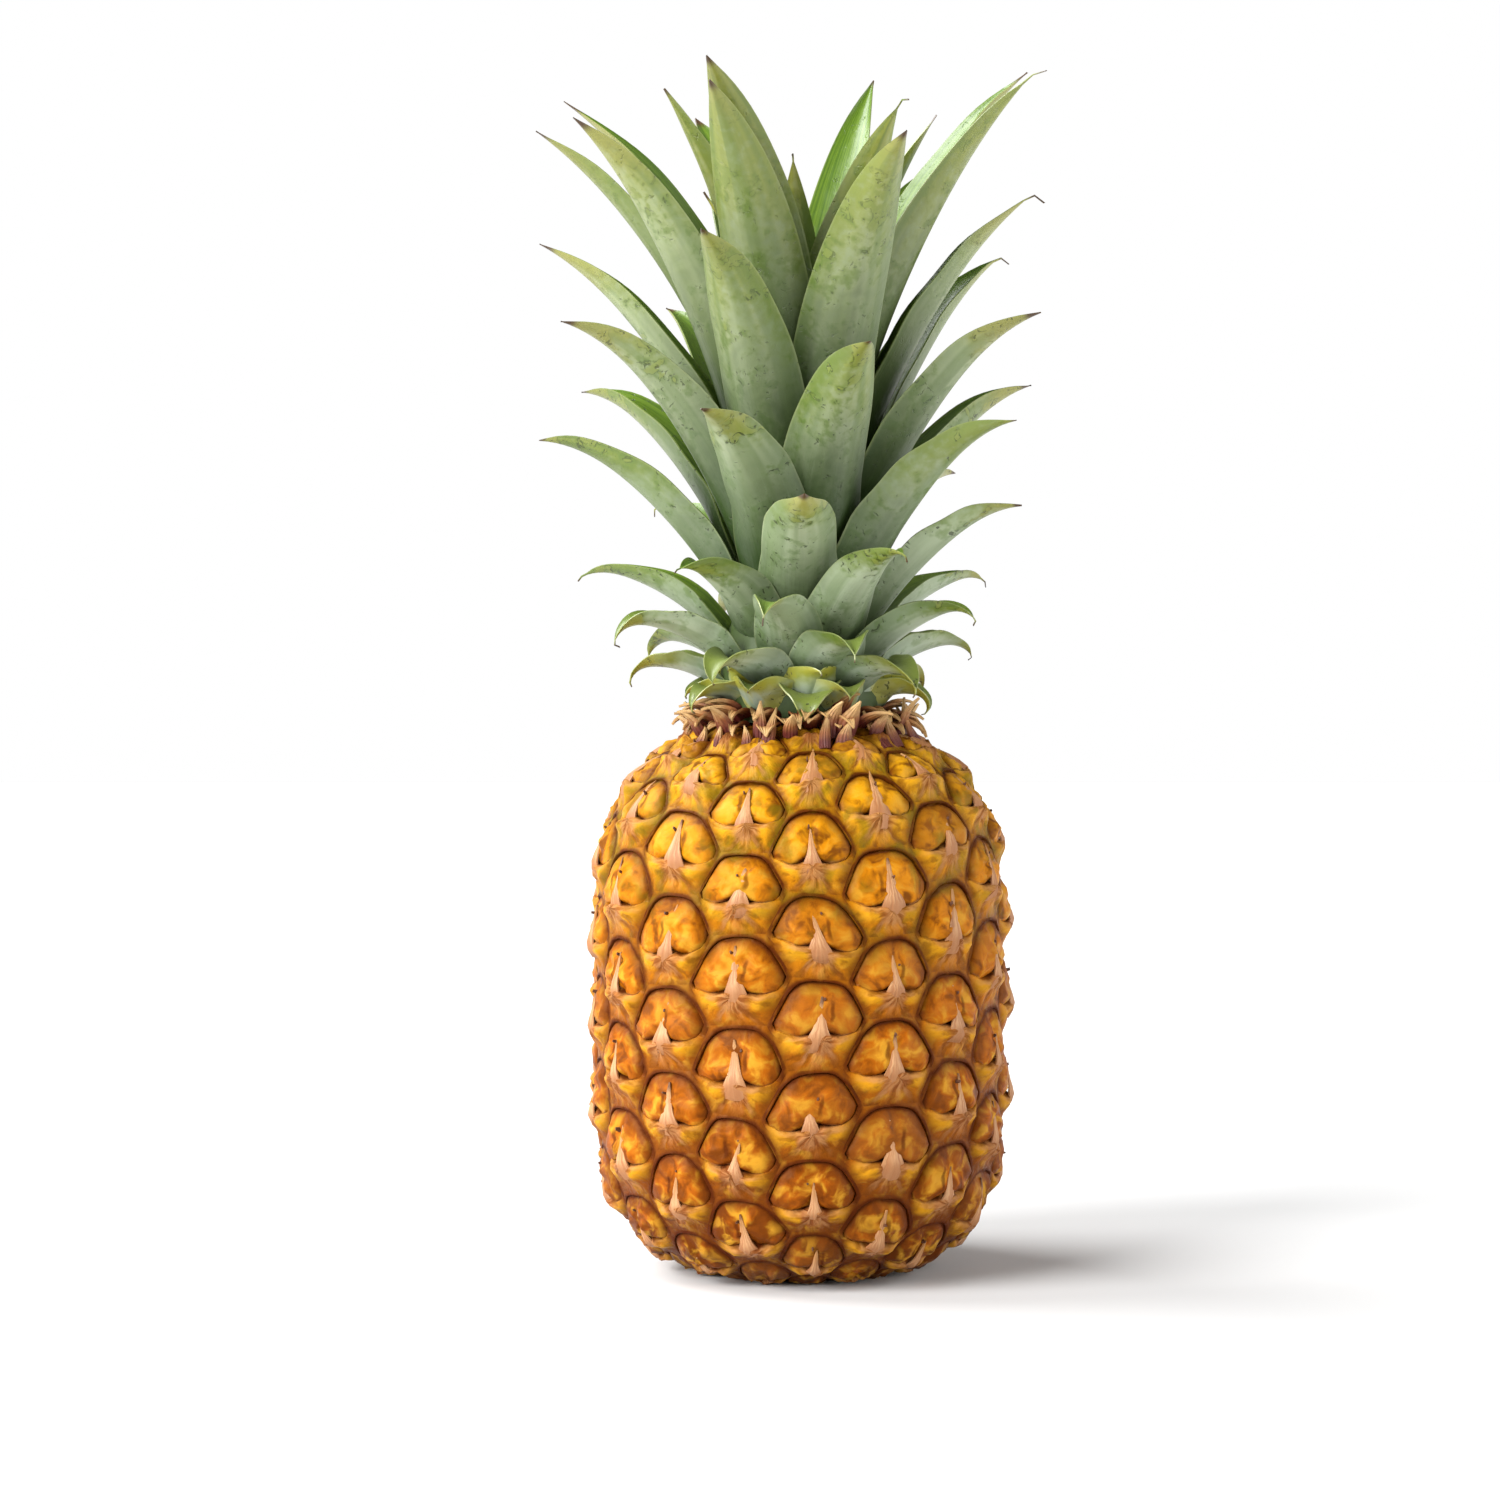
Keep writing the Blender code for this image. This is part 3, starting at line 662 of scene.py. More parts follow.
bract_blank = strip_blank(2, 7, 0.5, -1.0)
blank = vertices(bract_blank)
bract_share = (blank[:, 1] + 1) / 2
bract_under = np.clip(-blank[:, 2] / 0.5, 0, 1)
shares, half_widths, lifts = np.array(BRACT_LAYOUT).T
bracts = []
for eye in range(FIRST_EYE, LAST_EYE + 1):
    lean, reach, spread, stand = (chance.uniform(*limits)
                                  for limits in (BRACT_LEAN, BRACT_REACH, BRACT_SPREAD, BRACT_STAND))
    eye_height = np.interp(eye, eye_numbers, barrel[:, 1])
    if not LOWEST_BRACT < eye_height < HIGHEST_BRACT:
        continue
    reach *= 1 + LONGER_BY * np.clip((eye_height - LONGER_FROM) / LONGER_OVER, 0, 1)
    made = copy_of(bract_blank, f"bract_{eye}")
    half = np.interp(bract_share, shares, half_widths) * spread
    bract_up = BRACT_ROOT + (BRACT_END - BRACT_ROOT) * bract_share * reach
    keel = BRACT_KEEL * half * (1 - np.abs(blank[:, 0]))
    own_lift = np.interp(bract_share, shares, lifts)
    own_lift = np.where(own_lift > 0, own_lift * stand, own_lift)
    lift = skin_lift(bract_up) + own_lift + keel - bract_under * BRACT_WALL
    bract_along = blank[:, 0] * half + lean * bract_share**2
    move_vertices(made, on_rind(eye, bract_along, bract_up, lift))
    add_map(made, "bract", np.stack([(blank[:, 0] + 1) / 2, bract_share], axis=1))
    add_luck(made, chance)
    bracts.append(made)
eye_bracts = join(bracts, "eye_bracts", bract_blank)
smooth(60)
paper = Finish("bract", roughness=0.6)
across, along_bract = paper.map("bract")
luck, _ = paper.map("luck")
fibre = paper.noise(paper.point(across * 9.0, along_bract * 2.0, luck * 50.0), 1.0, 3.0)
tip = (along_bract + (luck - 0.5) * 0.3 + (fibre - 0.5) * 0.1).step(0.9, 1.05)
colour = paper.layers(
    paper.mix(fibre.step(0.35, 0.65), tone(198, 130, 76), tone(236, 178, 122)),
    (along_bract.step(0.45, 0.2) * 0.8, (190, 122, 66)),
    (along_bract.step(0.5, 0.85) * 0.5, (206, 144, 66)),
    (tip * 0.8, (104, 54, 22)))
paper.feed(base_color=colour)
paper.bump(fibre, 0.0004, 0.6)
coat(eye_bracts, paper)
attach(eye_bracts, "root")

# ---- Dried flowers ----
# What is left of each eye's flower: a small, dark, withered stub beside the bract, in the dimple
# of the button. It is crumpled and brittle, and it grew out of the eye.
LOWEST_FLOWER, HIGHEST_FLOWER = 8.0, 150.0
FLOWER_GIRTH, FLOWER_STAND, FLOWER_LEAN = (0.6, 0.9), (0.9, 1.5), (0.2, 0.6)
FLOWER_SIDE, FLOWER_UP, FLOWER_SINK = (0.7, 1.5), (3.0, 6.5), 1.4
CRUMPLE = (0.75, 1.25)
deselect()
bpy.ops.mesh.primitive_cone_add(vertices=6, radius1=1.0, radius2=0.45, depth=2.0)
flower_blank = bpy.context.object
bpy.ops.object.mode_set(mode="EDIT")
bpy.ops.mesh.select_all(action="SELECT")
bpy.ops.mesh.subdivide(number_cuts=1)
bpy.ops.object.mode_set(mode="OBJECT")
blank = vertices(flower_blank)
flowers = []
for eye in range(FIRST_EYE, LAST_EYE + 1):
    if not LOWEST_FLOWER < np.interp(eye, eye_numbers, barrel[:, 1]) < HIGHEST_FLOWER:
        continue
    made = copy_of(flower_blank, f"flower_{eye}")
    crumple = np.array([chance.uniform(*CRUMPLE) for _ in blank])
    girth, stand = chance.uniform(*FLOWER_GIRTH), chance.uniform(*FLOWER_STAND)
    side, lean = chance.choice((-1, 1)), chance.uniform(*FLOWER_LEAN)
    stub = blank[:, 2] + 1
    flower_along = side * chance.uniform(*FLOWER_SIDE) + blank[:, 0] * girth * 0.8 * crumple
    flower_up = chance.uniform(*FLOWER_UP) + blank[:, 1] * girth * crumple + stub * lean
    lift = skin_lift(flower_up) - FLOWER_SINK + stub * stand
    move_vertices(made, on_rind(eye, flower_along, flower_up, lift))
    flowers.append(made)
dried_flowers = join(flowers, "dried_flowers", flower_blank)
smooth(60)
withered = Finish("dried_flower", roughness=0.7)
place = withered.place()
colour = withered.mix(withered.noise(place, 900.0), tone(70, 30, 10), tone(132, 76, 34))
withered.feed(base_color=colour)
coat(dried_flowers, withered)
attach(dried_flowers, "root")

# ---- Cut stalk ----
# The stub of the stalk that carried the fruit, in the hollow of its base. It is fibrous and
# dry where it was cut, and it grew into the flesh.
STALK_RADIUS = 12.5
stalk = frame["nodes"]["stalk"]
cut = Finish("cut_stalk", roughness=0.8)
place = cut.place()
x, y, _ = cut.parts(place)
from_axis = (x * x + y * y) ** 0.5 * (1 / (STALK_RADIUS * MM))
bundles = cut.noise(place, 900.0, 2.0)
rings = cut.noise(place, 120.0, 4.0)
colour = cut.layers(
    cut.mix(bundles.step(0.45, 0.62), tone(202, 176, 122), tone(128, 92, 50)),
    ((from_axis + (rings - 0.5) * 0.3).step(0.75, 1.0), (104, 70, 34)))
cut.feed(base_color=colour, roughness=0.7 + bundles * 0.2)
cut.bump(bundles + rings * 0.5, 0.0008, 0.7)
coat(stalk, cut)

# ---- Collar bracts ----
# Small dried bracts between the fruit's top and the crown. They are leathery, brown and curled,
# with tan points, and they grew from the fruit's last eyes.

# Its rows from the outside in: how many bracts, their roots' radius and height, their length, the
# lean of their roots from upright, half their width, and how far they curl over in all
COLLAR_ROWS = ((21, 35.5, 150.6, 10.5, -30, 2.6, 15),
               (19, 31.5, 153.0, 9.0, 10, 3.4, 30),
               (20, 27.0, 155.4, 8.5, 55, 3.9, 70),
               (20, 25.0, 156.8, 9.0, 55, 3.8, 80),
               (22, 23.2, 158.2, 9.2, 48, 3.4, 85))
COLLAR_WALL, COLLAR_TIP = 0.6, 0.2
# How far one bract may differ: in shares of its pitch, degrees, shares of its size, and mm
PITCH_STRAY, CURL_STRAY, LEAN_STRAY = 0.35, 35, 20
WIDTH_STRAY, LENGTH_STRAY, CUP_LIMITS, SWAY = (0.7, 1.4), (0.6, 1.4), (0.5, 1.1), 2.5
collar_blank = strip_blank(4, 8, COLLAR_WALL, 1.0)
blank = vertices(collar_blank)
collar_share = (blank[:, 1] + 1) / 2
collar_height = blank[:, 2]


def bent_path(lean, curl, length, share):
    """Radial and upward run of a strip that leaves at a lean from upright and curls on outwards."""
    fine = np.linspace(0, 1, 41)
    angle = np.radians(lean + curl * fine**1.5)
    run, rise = (np.concatenate([[0], np.cumsum((part[1:] + part[:-1]) / 2)]) * length / 40
                 for part in (np.sin(angle), np.cos(angle)))
    return np.interp(share, fine, run), np.interp(share, fine, rise), np.interp(share, fine, angle)


collar = []
for count, radius, height, length, lean, breadth, droop in COLLAR_ROWS:
    start = chance.uniform(0, 360)
    for k in range(count):
        azimuth = start + (k + chance.uniform(-PITCH_STRAY, PITCH_STRAY)) * 360 / count
        width = breadth * chance.uniform(*WIDTH_STRAY)
        curl = droop + chance.uniform(-CURL_STRAY, CURL_STRAY)
        cup = chance.uniform(*CUP_LIMITS)
        own_lean = lean + chance.uniform(-LEAN_STRAY, LEAN_STRAY)
        run, rise, angle = bent_path(own_lean, curl, length * chance.uniform(*LENGTH_STRAY), collar_share)
        half = width * (1 - collar_share**1.6) * (0.75 + 0.25 * np.sin(collar_share * math.pi)) + COLLAR_TIP
        turn = blank[:, 0] * cup
        sideways = np.sin(turn) / cup * half + chance.uniform(-SWAY, SWAY) * collar_share**2
        inwards = (1 - np.cos(turn)) / cup * half + collar_height
        from_axis = radius + run - inwards * np.cos(angle)
        level = height + rise + inwards * np.sin(angle)
        spot = around(azimuth, from_axis, level) + around(azimuth + 90, 1.0, 0.0) * sideways[:, None]
        made = copy_of(collar_blank, f"collar_{len(collar)}")
        move_vertices(made, spot * MM)
        add_map(made, "bract", np.stack([(blank[:, 0] + 1) / 2, collar_share], axis=1))
        add_luck(made, chance)
        collar.append(made)
collar_bracts = join(collar, "collar_bracts", collar_blank)
bpy.ops.object.mode_set(mode="EDIT")
bpy.ops.mesh.select_all(action="SELECT")
bpy.ops.mesh.flip_normals()
bpy.ops.object.mode_set(mode="OBJECT")
smooth(60)
dry = Finish("dried_bract", roughness=0.6)
place = dry.place()
across, along_bract = dry.map("bract")
luck, _ = dry.map("luck")
fibre = dry.noise(place, 600.0, 4.0)
colour = dry.layers(
    dry.mix(luck, tone(140, 68, 26), tone(206, 138, 72)),
    (fibre.step(0.45, 0.7) * 0.5, (196, 138, 80)),
    ((along_bract + (fibre - 0.5) * 0.3).step(0.4, 0.85), (236, 190, 124)),
    # The dark red base is partly the bracts' own colour and partly painted shade where they overlap
    (along_bract.step(0.55, 0.15), (104, 24, 4)))
dry.feed(base_color=colour)
dry.bump((across * 30.0).sine() * 0.4 + fibre, 0.0005, 0.6)
coat(collar_bracts, dry)
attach(collar_bracts, "root")

# ---- Crown ----
# The leafy stem on top of the fruit: a fleshy core with 64 stiff, channelled leaves on one spiral,
# and 14 short ones that clasp its base. The leaves are green with a grey bloom and withered tips,
# and they grew from the core.

# The core, as (height, radius) points
STEM_PROFILE = ((157, 22.5), (163, 24.0), (175, 22.0), (190, 18.0), (205, 13.5), (220, 9.5), (234, 5.0),
                (238, 2.0))
STEM_BASE = 157.0
# The spiral: the leaf at the front has azimuth 0, and the roots crowd towards the top
LEAF_COUNT, SCALE_LEAVES = 64, 14
GOLDEN_TURN, FRONT_LEAF = 137.508, 24
FIRST_LEAF_RISE, LEAFY_HEIGHT, LEAF_CROWDING = 2.0, 73.0, 1.25
ROOT_SINK, LEAF_BOW = 3.0, 0.55
TURN_STRAY, REACH_STRAY, TIP_STRAY = 4.0, 0.05, 3.0
# A blade's widest place and its root's width and clasp, as shares of its length and width
BLADE_WIDEST, BLADE_ROOT_WIDTH, BLADE_CLASP = 0.25, 0.82, 0.35
ROOT_WRAP = 70.0
LEAF_STATIONS, LEAF_ACROSS = 34, 9
# How the leaves change up the spiral, as (leaf, value) points
LEAF_REACH = ((0, 39), (4, 47), (9, 53), (14, 58), (22, 65), (26, 69), (34, 69), (43, 71), (51, 72), (54, 46),
              (58, 30), (63, 12))
LEAF_TIP_HEIGHT = ((0, 160), (4, 166), (9, 177), (14, 189), (18, 204), (22, 219), (26, 238), (30, 255), (34, 272),
                   (38, 294), (43, 313), (47, 332), (51, 343), (54, 335), (58, 318), (63, 290))
LEAF_ROOT_LEAN = ((0, 38), (9, 40), (14, 42), (22, 32), (30, 24), (38, 17), (47, 12), (58, 5), (63, 2))
LEAF_WIDTH = ((0, 21), (8, 24), (12, 23), (16, 20), (20, 22), (24, 24), (29, 27), (37, 28), (46, 28), (50, 27),
              (55, 22), (63, 13))
LEAF_TAPER = ((0, 1.8), (14, 2.2), (23, 2.4), (24, 3.6), (25, 2.4), (36, 3.0), (50, 3.0), (63, 1.8))
# Half the angle that a leaf's width wraps through, and how its end hooks over and from where
LEAF_WRAP = ((0, 50), (16, 60), (26, 64), (38, 56), (50, 46), (63, 40))
LEAF_HOOK = ((0, 105), (10, 100), (16, 70), (20, 40), (23, 24), (24, -45), (25, 24), (30, 24), (40, 14), (50, 6),
             (63, 0))
HOOK_START = ((0, 0.68), (16, 0.66), (24, 0.6))
# Leaves that grew a little off the rule: (degrees further round, mm higher at the tip, mm longer)
LEAF_NUDGES = {3: (11, -5, -10), 8: (10, 0, -4), 11: (6, -2, -4), 16: (8, -3, -4), 19: (-7, 0, 0),
               21: (10, -12, -8), 24: (0, -11, -1), 29: (11, -8, 0), 32: (-5, 2, 0), 37: (-8, 2, 0),
               40: (-17, 19, 0), 42: (-10, 18, 0), 45: (-25, 10, 0), 47: (-8, -6, 0), 48: (12, 8, 0),
               50: (5, -1, 0), 53: (0, -8, 0), 54: (-8, 13, 0)}
# The leaves at the left reach further, from the first ones up to a number
LEFT_REACH, LEFT_LEAVES = 5.0, 20
# The old leaves end in a dry thread, and so does every fifth of the others
OLD_LEAVES, THREAD_START, THREAD_CURL, THINNEST = 22, 0.95, (20, 110), 0.28
# A leaf's section: a keeled channel, thick in its middle and thin at its edges, and a little rippled
LEAF_KEEL, KEEL_STEPS = 0.65, 12
LEAF_DEPTH, EDGE_DEPTH, EDGE_RIPPLE = 2.3, 0.3, 0.3
WIDTH_GAIN, WIDTH_WRAP = 1.05, 46.0


def at_leaf(points, leaf):
    """A value between the (leaf, value) points."""
    return float(np.interp(leaf, *np.array(points, dtype=float).T))


def leaf_rule(leaf, chance):
    """Azimuth, root, tip, root lean, width and taper of a leaf, counted up from the crown's base."""
    turn_nudge, rise_nudge, reach_nudge = LEAF_NUDGES.get(leaf, (0, 0, 0))
    azimuth = (leaf - FRONT_LEAF) * GOLDEN_TURN + turn_nudge + chance.uniform(-TURN_STRAY, TURN_STRAY)
    height = STEM_BASE + FIRST_LEAF_RISE + LEAFY_HEIGHT * (leaf / (LEAF_COUNT - 1)) ** LEAF_CROWDING
    root = np.array((at_leaf(STEM_PROFILE, height) - ROOT_SINK, height))
    reach = at_leaf(LEAF_REACH, leaf) * (1 + chance.uniform(-REACH_STRAY, REACH_STRAY)) + reach_nudge
    rise = at_leaf(LEAF_TIP_HEIGHT, leaf) + rise_nudge + chance.uniform(-TIP_STRAY, TIP_STRAY)
    reach += LEFT_REACH * max(-math.sin(math.radians(azimuth)), 0) * min(leaf / LEFT_LEAVES, 1)
    growth = [at_leaf(points, leaf) for points in (LEAF_ROOT_LEAN, LEAF_WIDTH, LEAF_TAPER)]
    return azimuth, root, np.array((reach, rise)), *growth


def scale_leaf(scale, chance):
    """The same as leaf_rule, for one of the short leaves that clasp the crown's base in two rows."""
    azimuth = (scale + chance.uniform(-0.2, 0.2)) * 360 / SCALE_LEAVES
    outer = scale % 2
    root = np.array((19.6 + 2.4 * outer, STEM_BASE + 0.6))
    tip = np.array((31.0 + 4.0 * outer + chance.uniform(-1, 1), 175.0 - 8.0 * outer + chance.uniform(-2, 2)))
    return azimuth, root, tip, 26.0, chance.uniform(22, 25), 2.6


def leaf_hook(leaf, chance):
    """Degrees that a leaf's end hooks over, the share of its length where that starts, and its sway."""
    hook, start = at_leaf(LEAF_HOOK, leaf), at_leaf(HOOK_START, leaf)
    return hook * chance.uniform(0.6, 1.2), start + chance.uniform(-0.06, 0.08), chance.uniform(-4.0, 4.0)


def midrib(root, tip, lean, share, hook, hook_start, tip_curl):
    """Points of a leaf's midrib and its headings, at shares of its length, as (radius, height)."""
    heading = np.array((math.sin(math.radians(lean)), math.cos(math.radians(lean))))
    bend = root + heading * LEAF_BOW * np.hypot(*(tip - root))
    fine = np.linspace(0, 1, 121)
    slope = 2 * ((bend - root)[None] * (1 - fine)[:, None] + (tip - bend)[None] * fine[:, None])
    turn = np.arctan2(slope[:, 0], slope[:, 1])
    turn += np.radians(hook) * np.clip((fine - hook_start) / (1 - hook_start), 0, 1) ** 2
    turn += np.radians(tip_curl) * np.clip((fine - THREAD_START) / (1 - THREAD_START), 0, 1)
    pace = np.hypot(*slope.T)
    heading = np.stack([np.sin(turn), np.cos(turn)], axis=1)
    run = heading * pace[:, None]
    line = root + np.concatenate([np.zeros((1, 2)), np.cumsum((run[1:] + run[:-1]) / 2, axis=0)]) / 120
    return [np.interp(share, fine, column) for column in (*line.T, *heading.T)]


def blade_width(share, taper):
    """Width of a leaf at shares of its length, as a share of its widest."""
    near = BLADE_ROOT_WIDTH + (1 - BLADE_ROOT_WIDTH) * np.sin(np.clip(share / BLADE_WIDEST, 0, 1) * math.pi / 2)
    far = 1 - np.clip((share - BLADE_WIDEST) / (1 - BLADE_WIDEST), 0, 1) ** taper
    return np.where(share < BLADE_WIDEST, near, far)


leaf_blank = strip_blank(LEAF_ACROSS, LEAF_STATIONS, 1.0, -1.0)
blank = vertices(leaf_blank)
leaf_side = blank[:, 0]
leaf_share = (blank[:, 1] + 1) / 2
leaf_inner = np.clip(-blank[:, 2], 0, 1)


def leaf_places(number, azimuth, root, tip, lean, width, taper, chance):
    """Places of the blank's vertices on one leaf, a keeled channel bent along its midrib."""
    hook, hook_start, sway = leaf_hook(number, chance)
    threaded = number < OLD_LEAVES or number % 5 == 3
    tip_curl = chance.uniform(*THREAD_CURL) if threaded else 0.0
    from_axis, level, outward, upward = midrib(root, tip, lean, leaf_share, hook, hook_start, tip_curl)

    wrap, flat_wrap = math.radians(at_leaf(LEAF_WRAP, number)), math.radians(WIDTH_WRAP)
    spread = WIDTH_GAIN * (math.sin(flat_wrap) / flat_wrap) / (math.sin(wrap) / wrap)
    blade_end = THREAD_START if threaded else 1.0
    half = width / 2 * spread * blade_width(np.minimum(leaf_share / blade_end, 1), taper)
    half = np.maximum(np.minimum(half, from_axis * math.radians(ROOT_WRAP)), THINNEST)
    clasp = np.maximum(1 - leaf_share / BLADE_CLASP, 0)
    curl = wrap + (np.minimum(half / from_axis, wrap) - wrap) * clasp

    fleshy = 0.4 + 0.6 * np.sin(np.clip(leaf_share * 1.15, 0, 1) * math.pi) ** 0.5
    towards_edge = 1 - 0.8 * np.abs(leaf_side) ** 1.5
    depth = np.maximum(LEAF_DEPTH * fleshy * towards_edge * np.clip(half / 6, 0, 1), EDGE_DEPTH) * leaf_inner
    angle = curl * np.sign(leaf_side) * np.abs(leaf_side) ** LEAF_KEEL
    steps_across = leaf_side[:, None] * (np.arange(KEEL_STEPS) + 0.5) / KEEL_STEPS
    turning = curl[:, None] * np.abs(steps_across) ** LEAF_KEEL
    ripple = EDGE_RIPPLE * np.sin(leaf_share * chance.uniform(14, 30) + chance.uniform(0, 6)) * leaf_side**2
    sideways = leaf_side * half * np.cos(turning).mean(axis=1) - np.sin(angle) * depth + sway * leaf_share**2
    backwards = ripple - np.abs(leaf_side) * half * np.sin(turning).mean(axis=1) - np.cos(angle) * depth

    places = around(azimuth, 1.0, 0.0) * (from_axis + upward * backwards)[:, None]
    places += around(azimuth + 90, 1.0, 0.0) * sideways[:, None]
    places[:, 2] += level - outward * backwards
    return places * MM


crown_chance = random.Random(11)
leaf_chance = random.Random(29)
leaves = []
for leaf in range(LEAF_COUNT + SCALE_LEAVES):
    if leaf < LEAF_COUNT:
        number = age = leaf
        growth = leaf_rule(leaf, crown_chance)
    else:
        number, age = 8, 2
        growth = scale_leaf(leaf - LEAF_COUNT, leaf_chance)
    made = copy_of(leaf_blank, f"leaf_{leaf}")
    move_vertices(made, leaf_places(number, *growth, leaf_chance))
    add_map(made, "leaf", np.stack([(leaf_side + 1) / 2, leaf_share], axis=1))
    add_map(made, "luck", np.full((len(blank), 2), (age / (LEAF_COUNT - 1), leaf_chance.random())))
    inside = made.data.attributes.new("inside", "FLOAT", "POINT")
    inside.data.foreach_set("value", leaf_inner.astype(np.float32))
    leaves.append(made)
crown = join(leaves, "crown_leaves", leaf_blank)
smooth(50)

# Across and along a leaf, its number up the spiral, its own luck, and its inner side
green = Finish("leaf", specular_ior_level=0.6)
place = green.place()
across, along_leaf = green.map("leaf")
leaf_number, luck = green.map("luck")
inside = green.node("ShaderNodeAttribute", {"attribute_name": "inside"}, output="Fac")
edge = abs(across - 0.5) * 2
streaks = green.noise(green.point(across * 40.0, along_leaf * 3.0, luck * 90.0), 1.0, 3.0)
mottle = green.noise(place, 110.0, 3.0, Distortion=0.8)
fine = green.noise(place, 800.0, 3.0)
grain = green.noise(place, 380.0, 2.0)

# A grey bloom over green, which thins towards the tip, with darker bands, painted shade towards both edges, and a
# painted shaded base
bloom = green.mix(leaf_number, tone(210, 226, 204), tone(208, 220, 150))
under_bloom = green.mix(leaf_number, tone(120, 152, 52), tone(180, 184, 88))
bloom_end = 0.82 - edge * 0.2 + (luck - 0.5) * 0.3
bloomed = (along_leaf - bloom_end + (mottle - 0.5) * 0.5 + (grain - 0.5) * 0.3).step(0.16, -0.2)
bands = green.noise(green.point(across * 4.5, along_leaf * 0.9, luck * 70.0), 1.0, 2.0)
blotches = (mottle - 0.5) * 0.25 + (bands - 0.5) * 0.3
shaded_base = (along_leaf + blotches + leaf_number.step(0.5, 0.3) * 0.32).step(0.9, 0.2)
colour = green.layers(
    green.mix(bloomed * (0.95 - leaf_number * 0.3), under_bloom, bloom),
    ((mottle * 0.6 + grain * 0.4).step(0.5, 0.62) * 0.45, (104, 140, 52)),
    (grain.step(0.5, 0.3) * 0.15, (192, 204, 172)),
    # painted shade towards both edges, which makes the leaf look rounder
    (edge.step(0.4, 1.0) * 0.25, (90, 122, 40)),
    (bands.step(0.42, 0.62) * 0.5, (100, 130, 56)),
    (shaded_base * 0.95, (42, 72, 8)))

# Patches where the bloom is rubbed off, with dark borders, on the older leaves most of all. The
# lowest leaves turn yellow, and all of them at their tips.
rubbed = mottle * 0.8 + (along_leaf - 0.7) * 0.6 + (grain - 0.5) * 0.15
older = leaf_number.step(0.8, 0.4) * 0.75 + 0.25
border = abs(rubbed - 0.51).step(0.016, 0.0) * grain.step(0.42, 0.56)
lowest = leaf_number.step(0.2, 0.0)
old_tip = (along_leaf + (luck - 0.5) * 0.2 + (mottle - 0.5) * 0.15).step(0.8, 1.0)
colour = green.layers(
    colour,
    (rubbed.step(0.5, 0.54) * older * 0.55, (168, 176, 84)),
    (border * older * 0.75, (60, 76, 20)),
    (leaf_number.step(0.08, 0.04) * mottle.step(0.42, 0.6) * 0.6, (206, 196, 60)),
    (lowest * (along_leaf + edge * 0.2).step(0.45, 0.95) * 0.8, (190, 186, 70)),
    (old_tip * 0.6, (188, 180, 92)))

# The inner side is a fresher green with fine streaks. The rim is pale, the skin has dark nicks,
# and the end of the tip is withered.
inner_tone = green.mix(streaks.step(0.3, 0.7), tone(84, 122, 16), tone(124, 158, 38))
inner_tone = green.layers(inner_tone, (leaf_number.step(0.35, 0.1) * 0.8, (134, 146, 66)))
nicks = green.noise(place, 300.0, 3.0, Distortion=2.5).step(0.62, 0.67) * mottle.step(0.48, 0.56)
withered_tip = (along_leaf + (luck - 0.5) * 0.03).step(0.955, 0.985)
colour = green.layers(
    green.mix(inside, colour, inner_tone),
    (edge.step(0.94, 1.0) * 0.2, (206, 212, 150)),
    (nicks * older * 0.8, (50, 64, 14)),
    (withered_tip, (92, 66, 34)))
green.feed(base_color=colour, roughness=0.36 + bloomed * 0.14 + (fine - 0.5) * 0.12)
green.bump(streaks * along_leaf.step(0.7, 0.3) * 0.3 + mottle * 0.6 + grain * 0.3 - nicks * 0.5, 0.0006, 0.6)
coat(crown, green)
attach(crown, "root")
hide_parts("crown")

# The crown's core, a tapered fleshy stem that the leaves hide
STEM_SIDES = 32
deselect()
bpy.ops.mesh.primitive_cylinder_add(vertices=STEM_SIDES, radius=STEM_PROFILE[0][1] * MM, depth=MM,
                                    location=(0, 0, (STEM_PROFILE[0][0] + 0.5) * MM))
core = bpy.context.object
bpy.ops.object.transform_apply(location=True, rotation=False, scale=False)
bpy.ops.object.mode_set(mode="EDIT")
mesh = bmesh.from_edit_mesh(core.data)
for face in mesh.faces:
    face.select_set(face.normal.z > 0.5)
for (low, low_radius), (high, high_radius) in zip(STEM_PROFILE, STEM_PROFILE[1:]):
    bpy.ops.mesh.extrude_region_move(TRANSFORM_OT_translate={"value": (0, 0, (high - low) * MM)})
    bpy.ops.transform.resize(value=(high_radius / low_radius, high_radius / low_radius, 1))
bpy.ops.object.mode_set(mode="OBJECT")
smooth(40)
core.name = core.data.name = "crown_core"
pith = Finish("crown_core", roughness=0.6)
place = pith.place()
colour = pith.mix(pith.noise(place, 200.0), tone(44, 66, 12), tone(74, 98, 24))
pith.feed(base_color=colour)
coat(core, pith)
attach(core, "root")
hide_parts("crown")

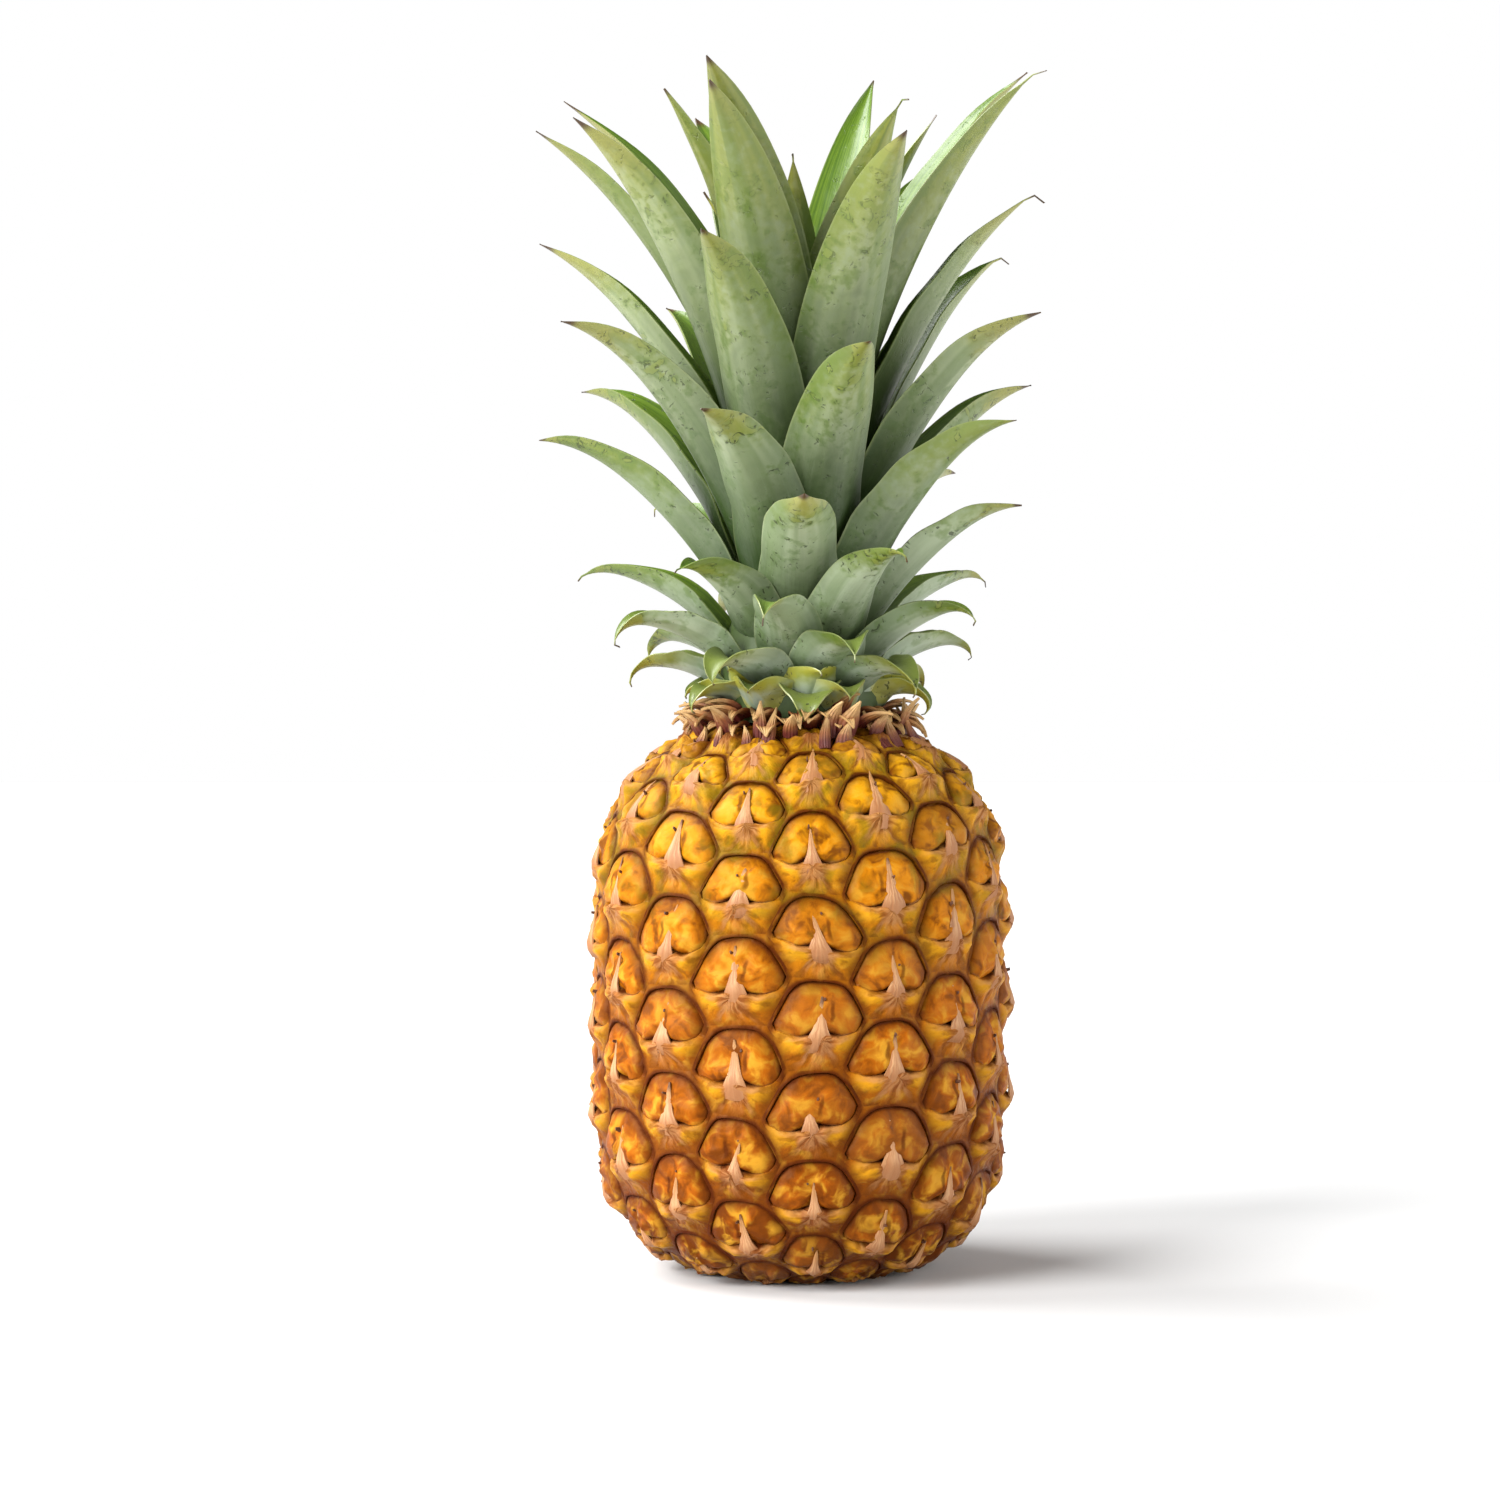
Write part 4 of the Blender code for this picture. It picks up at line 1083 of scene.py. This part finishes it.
# ---- Stage ----
# A pale matt floor under a white studio, three wide soft lights, and a camera that looks level at
# the fruit's front with a long lens.
CAMERA_SPOT, CAMERA_AIM = (-0.0143, -1.1, 0.19), (-0.0143, 0, 0.1486)
CAMERA_DISTANCE, FRAME_WIDTH, SENSOR_WIDTH = 1.1, 0.4286, 36.0
deselect()
bpy.ops.mesh.primitive_plane_add(size=6.0, location=(0, 0, 0))
floor = bpy.context.object
floor.name = "floor"
matt = Finish("floor", roughness=0.9)
matt.shader.inputs["Base Color"].default_value = (0.65, 0.65, 0.65, 1.0)
coat(floor, matt)
floor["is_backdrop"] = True

world = bpy.data.worlds.new("studio")
bpy.context.scene.world = world
world.use_nodes = True
sky = world.node_tree.nodes
direction = sky.new("ShaderNodeTexCoord")
parts = sky.new("ShaderNodeSeparateXYZ")
ramp = sky.new("ShaderNodeValToRGB")
ramp.color_ramp.elements[0].position, ramp.color_ramp.elements[0].color = 0.16, (1, 1, 1, 1)
ramp.color_ramp.elements[1].position, ramp.color_ramp.elements[1].color = 0.22, (0.2, 0.2, 0.2, 1)
world.node_tree.links.new(direction.outputs["Generated"], parts.inputs["Vector"])
world.node_tree.links.new(parts.outputs["Z"], ramp.inputs["Fac"])
world.node_tree.links.new(ramp.outputs["Color"], sky["Background"].inputs["Color"])
bpy.context.scene.view_settings.view_transform = "Standard"


def soft_sun(name, spot, softness, strength):
    """A wide, even light that comes from the side of a spot."""
    data = bpy.data.lights.new(name, "SUN")
    data.angle, data.energy = math.radians(softness), strength
    lamp = bpy.data.objects.new(name, data)
    lamp.location = spot
    lamp.rotation_euler = (-Vector(spot)).to_track_quat("-Z", "Y").to_euler()
    bpy.context.scene.collection.objects.link(lamp)


soft_sun("key", (-1.3, -0.95, 0.8), 36.0, 5.9)
soft_sun("rim", (-1.1, 0.4, 1.3), 40.0, 3.6)
soft_sun("fill", (1.4, -0.4, 0.4), 60.0, 2.3)

camera = bpy.data.objects.new("camera", bpy.data.cameras.new("camera"))
camera.location = CAMERA_SPOT
camera.rotation_euler = (Vector(CAMERA_AIM) - Vector(CAMERA_SPOT)).to_track_quat("-Z", "Y").to_euler()
camera.data.sensor_width = SENSOR_WIDTH
camera.data.lens = SENSOR_WIDTH * CAMERA_DISTANCE / FRAME_WIDTH
bpy.context.scene.collection.objects.link(camera)
bpy.context.scene.camera = camera

deselect()
low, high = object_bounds()
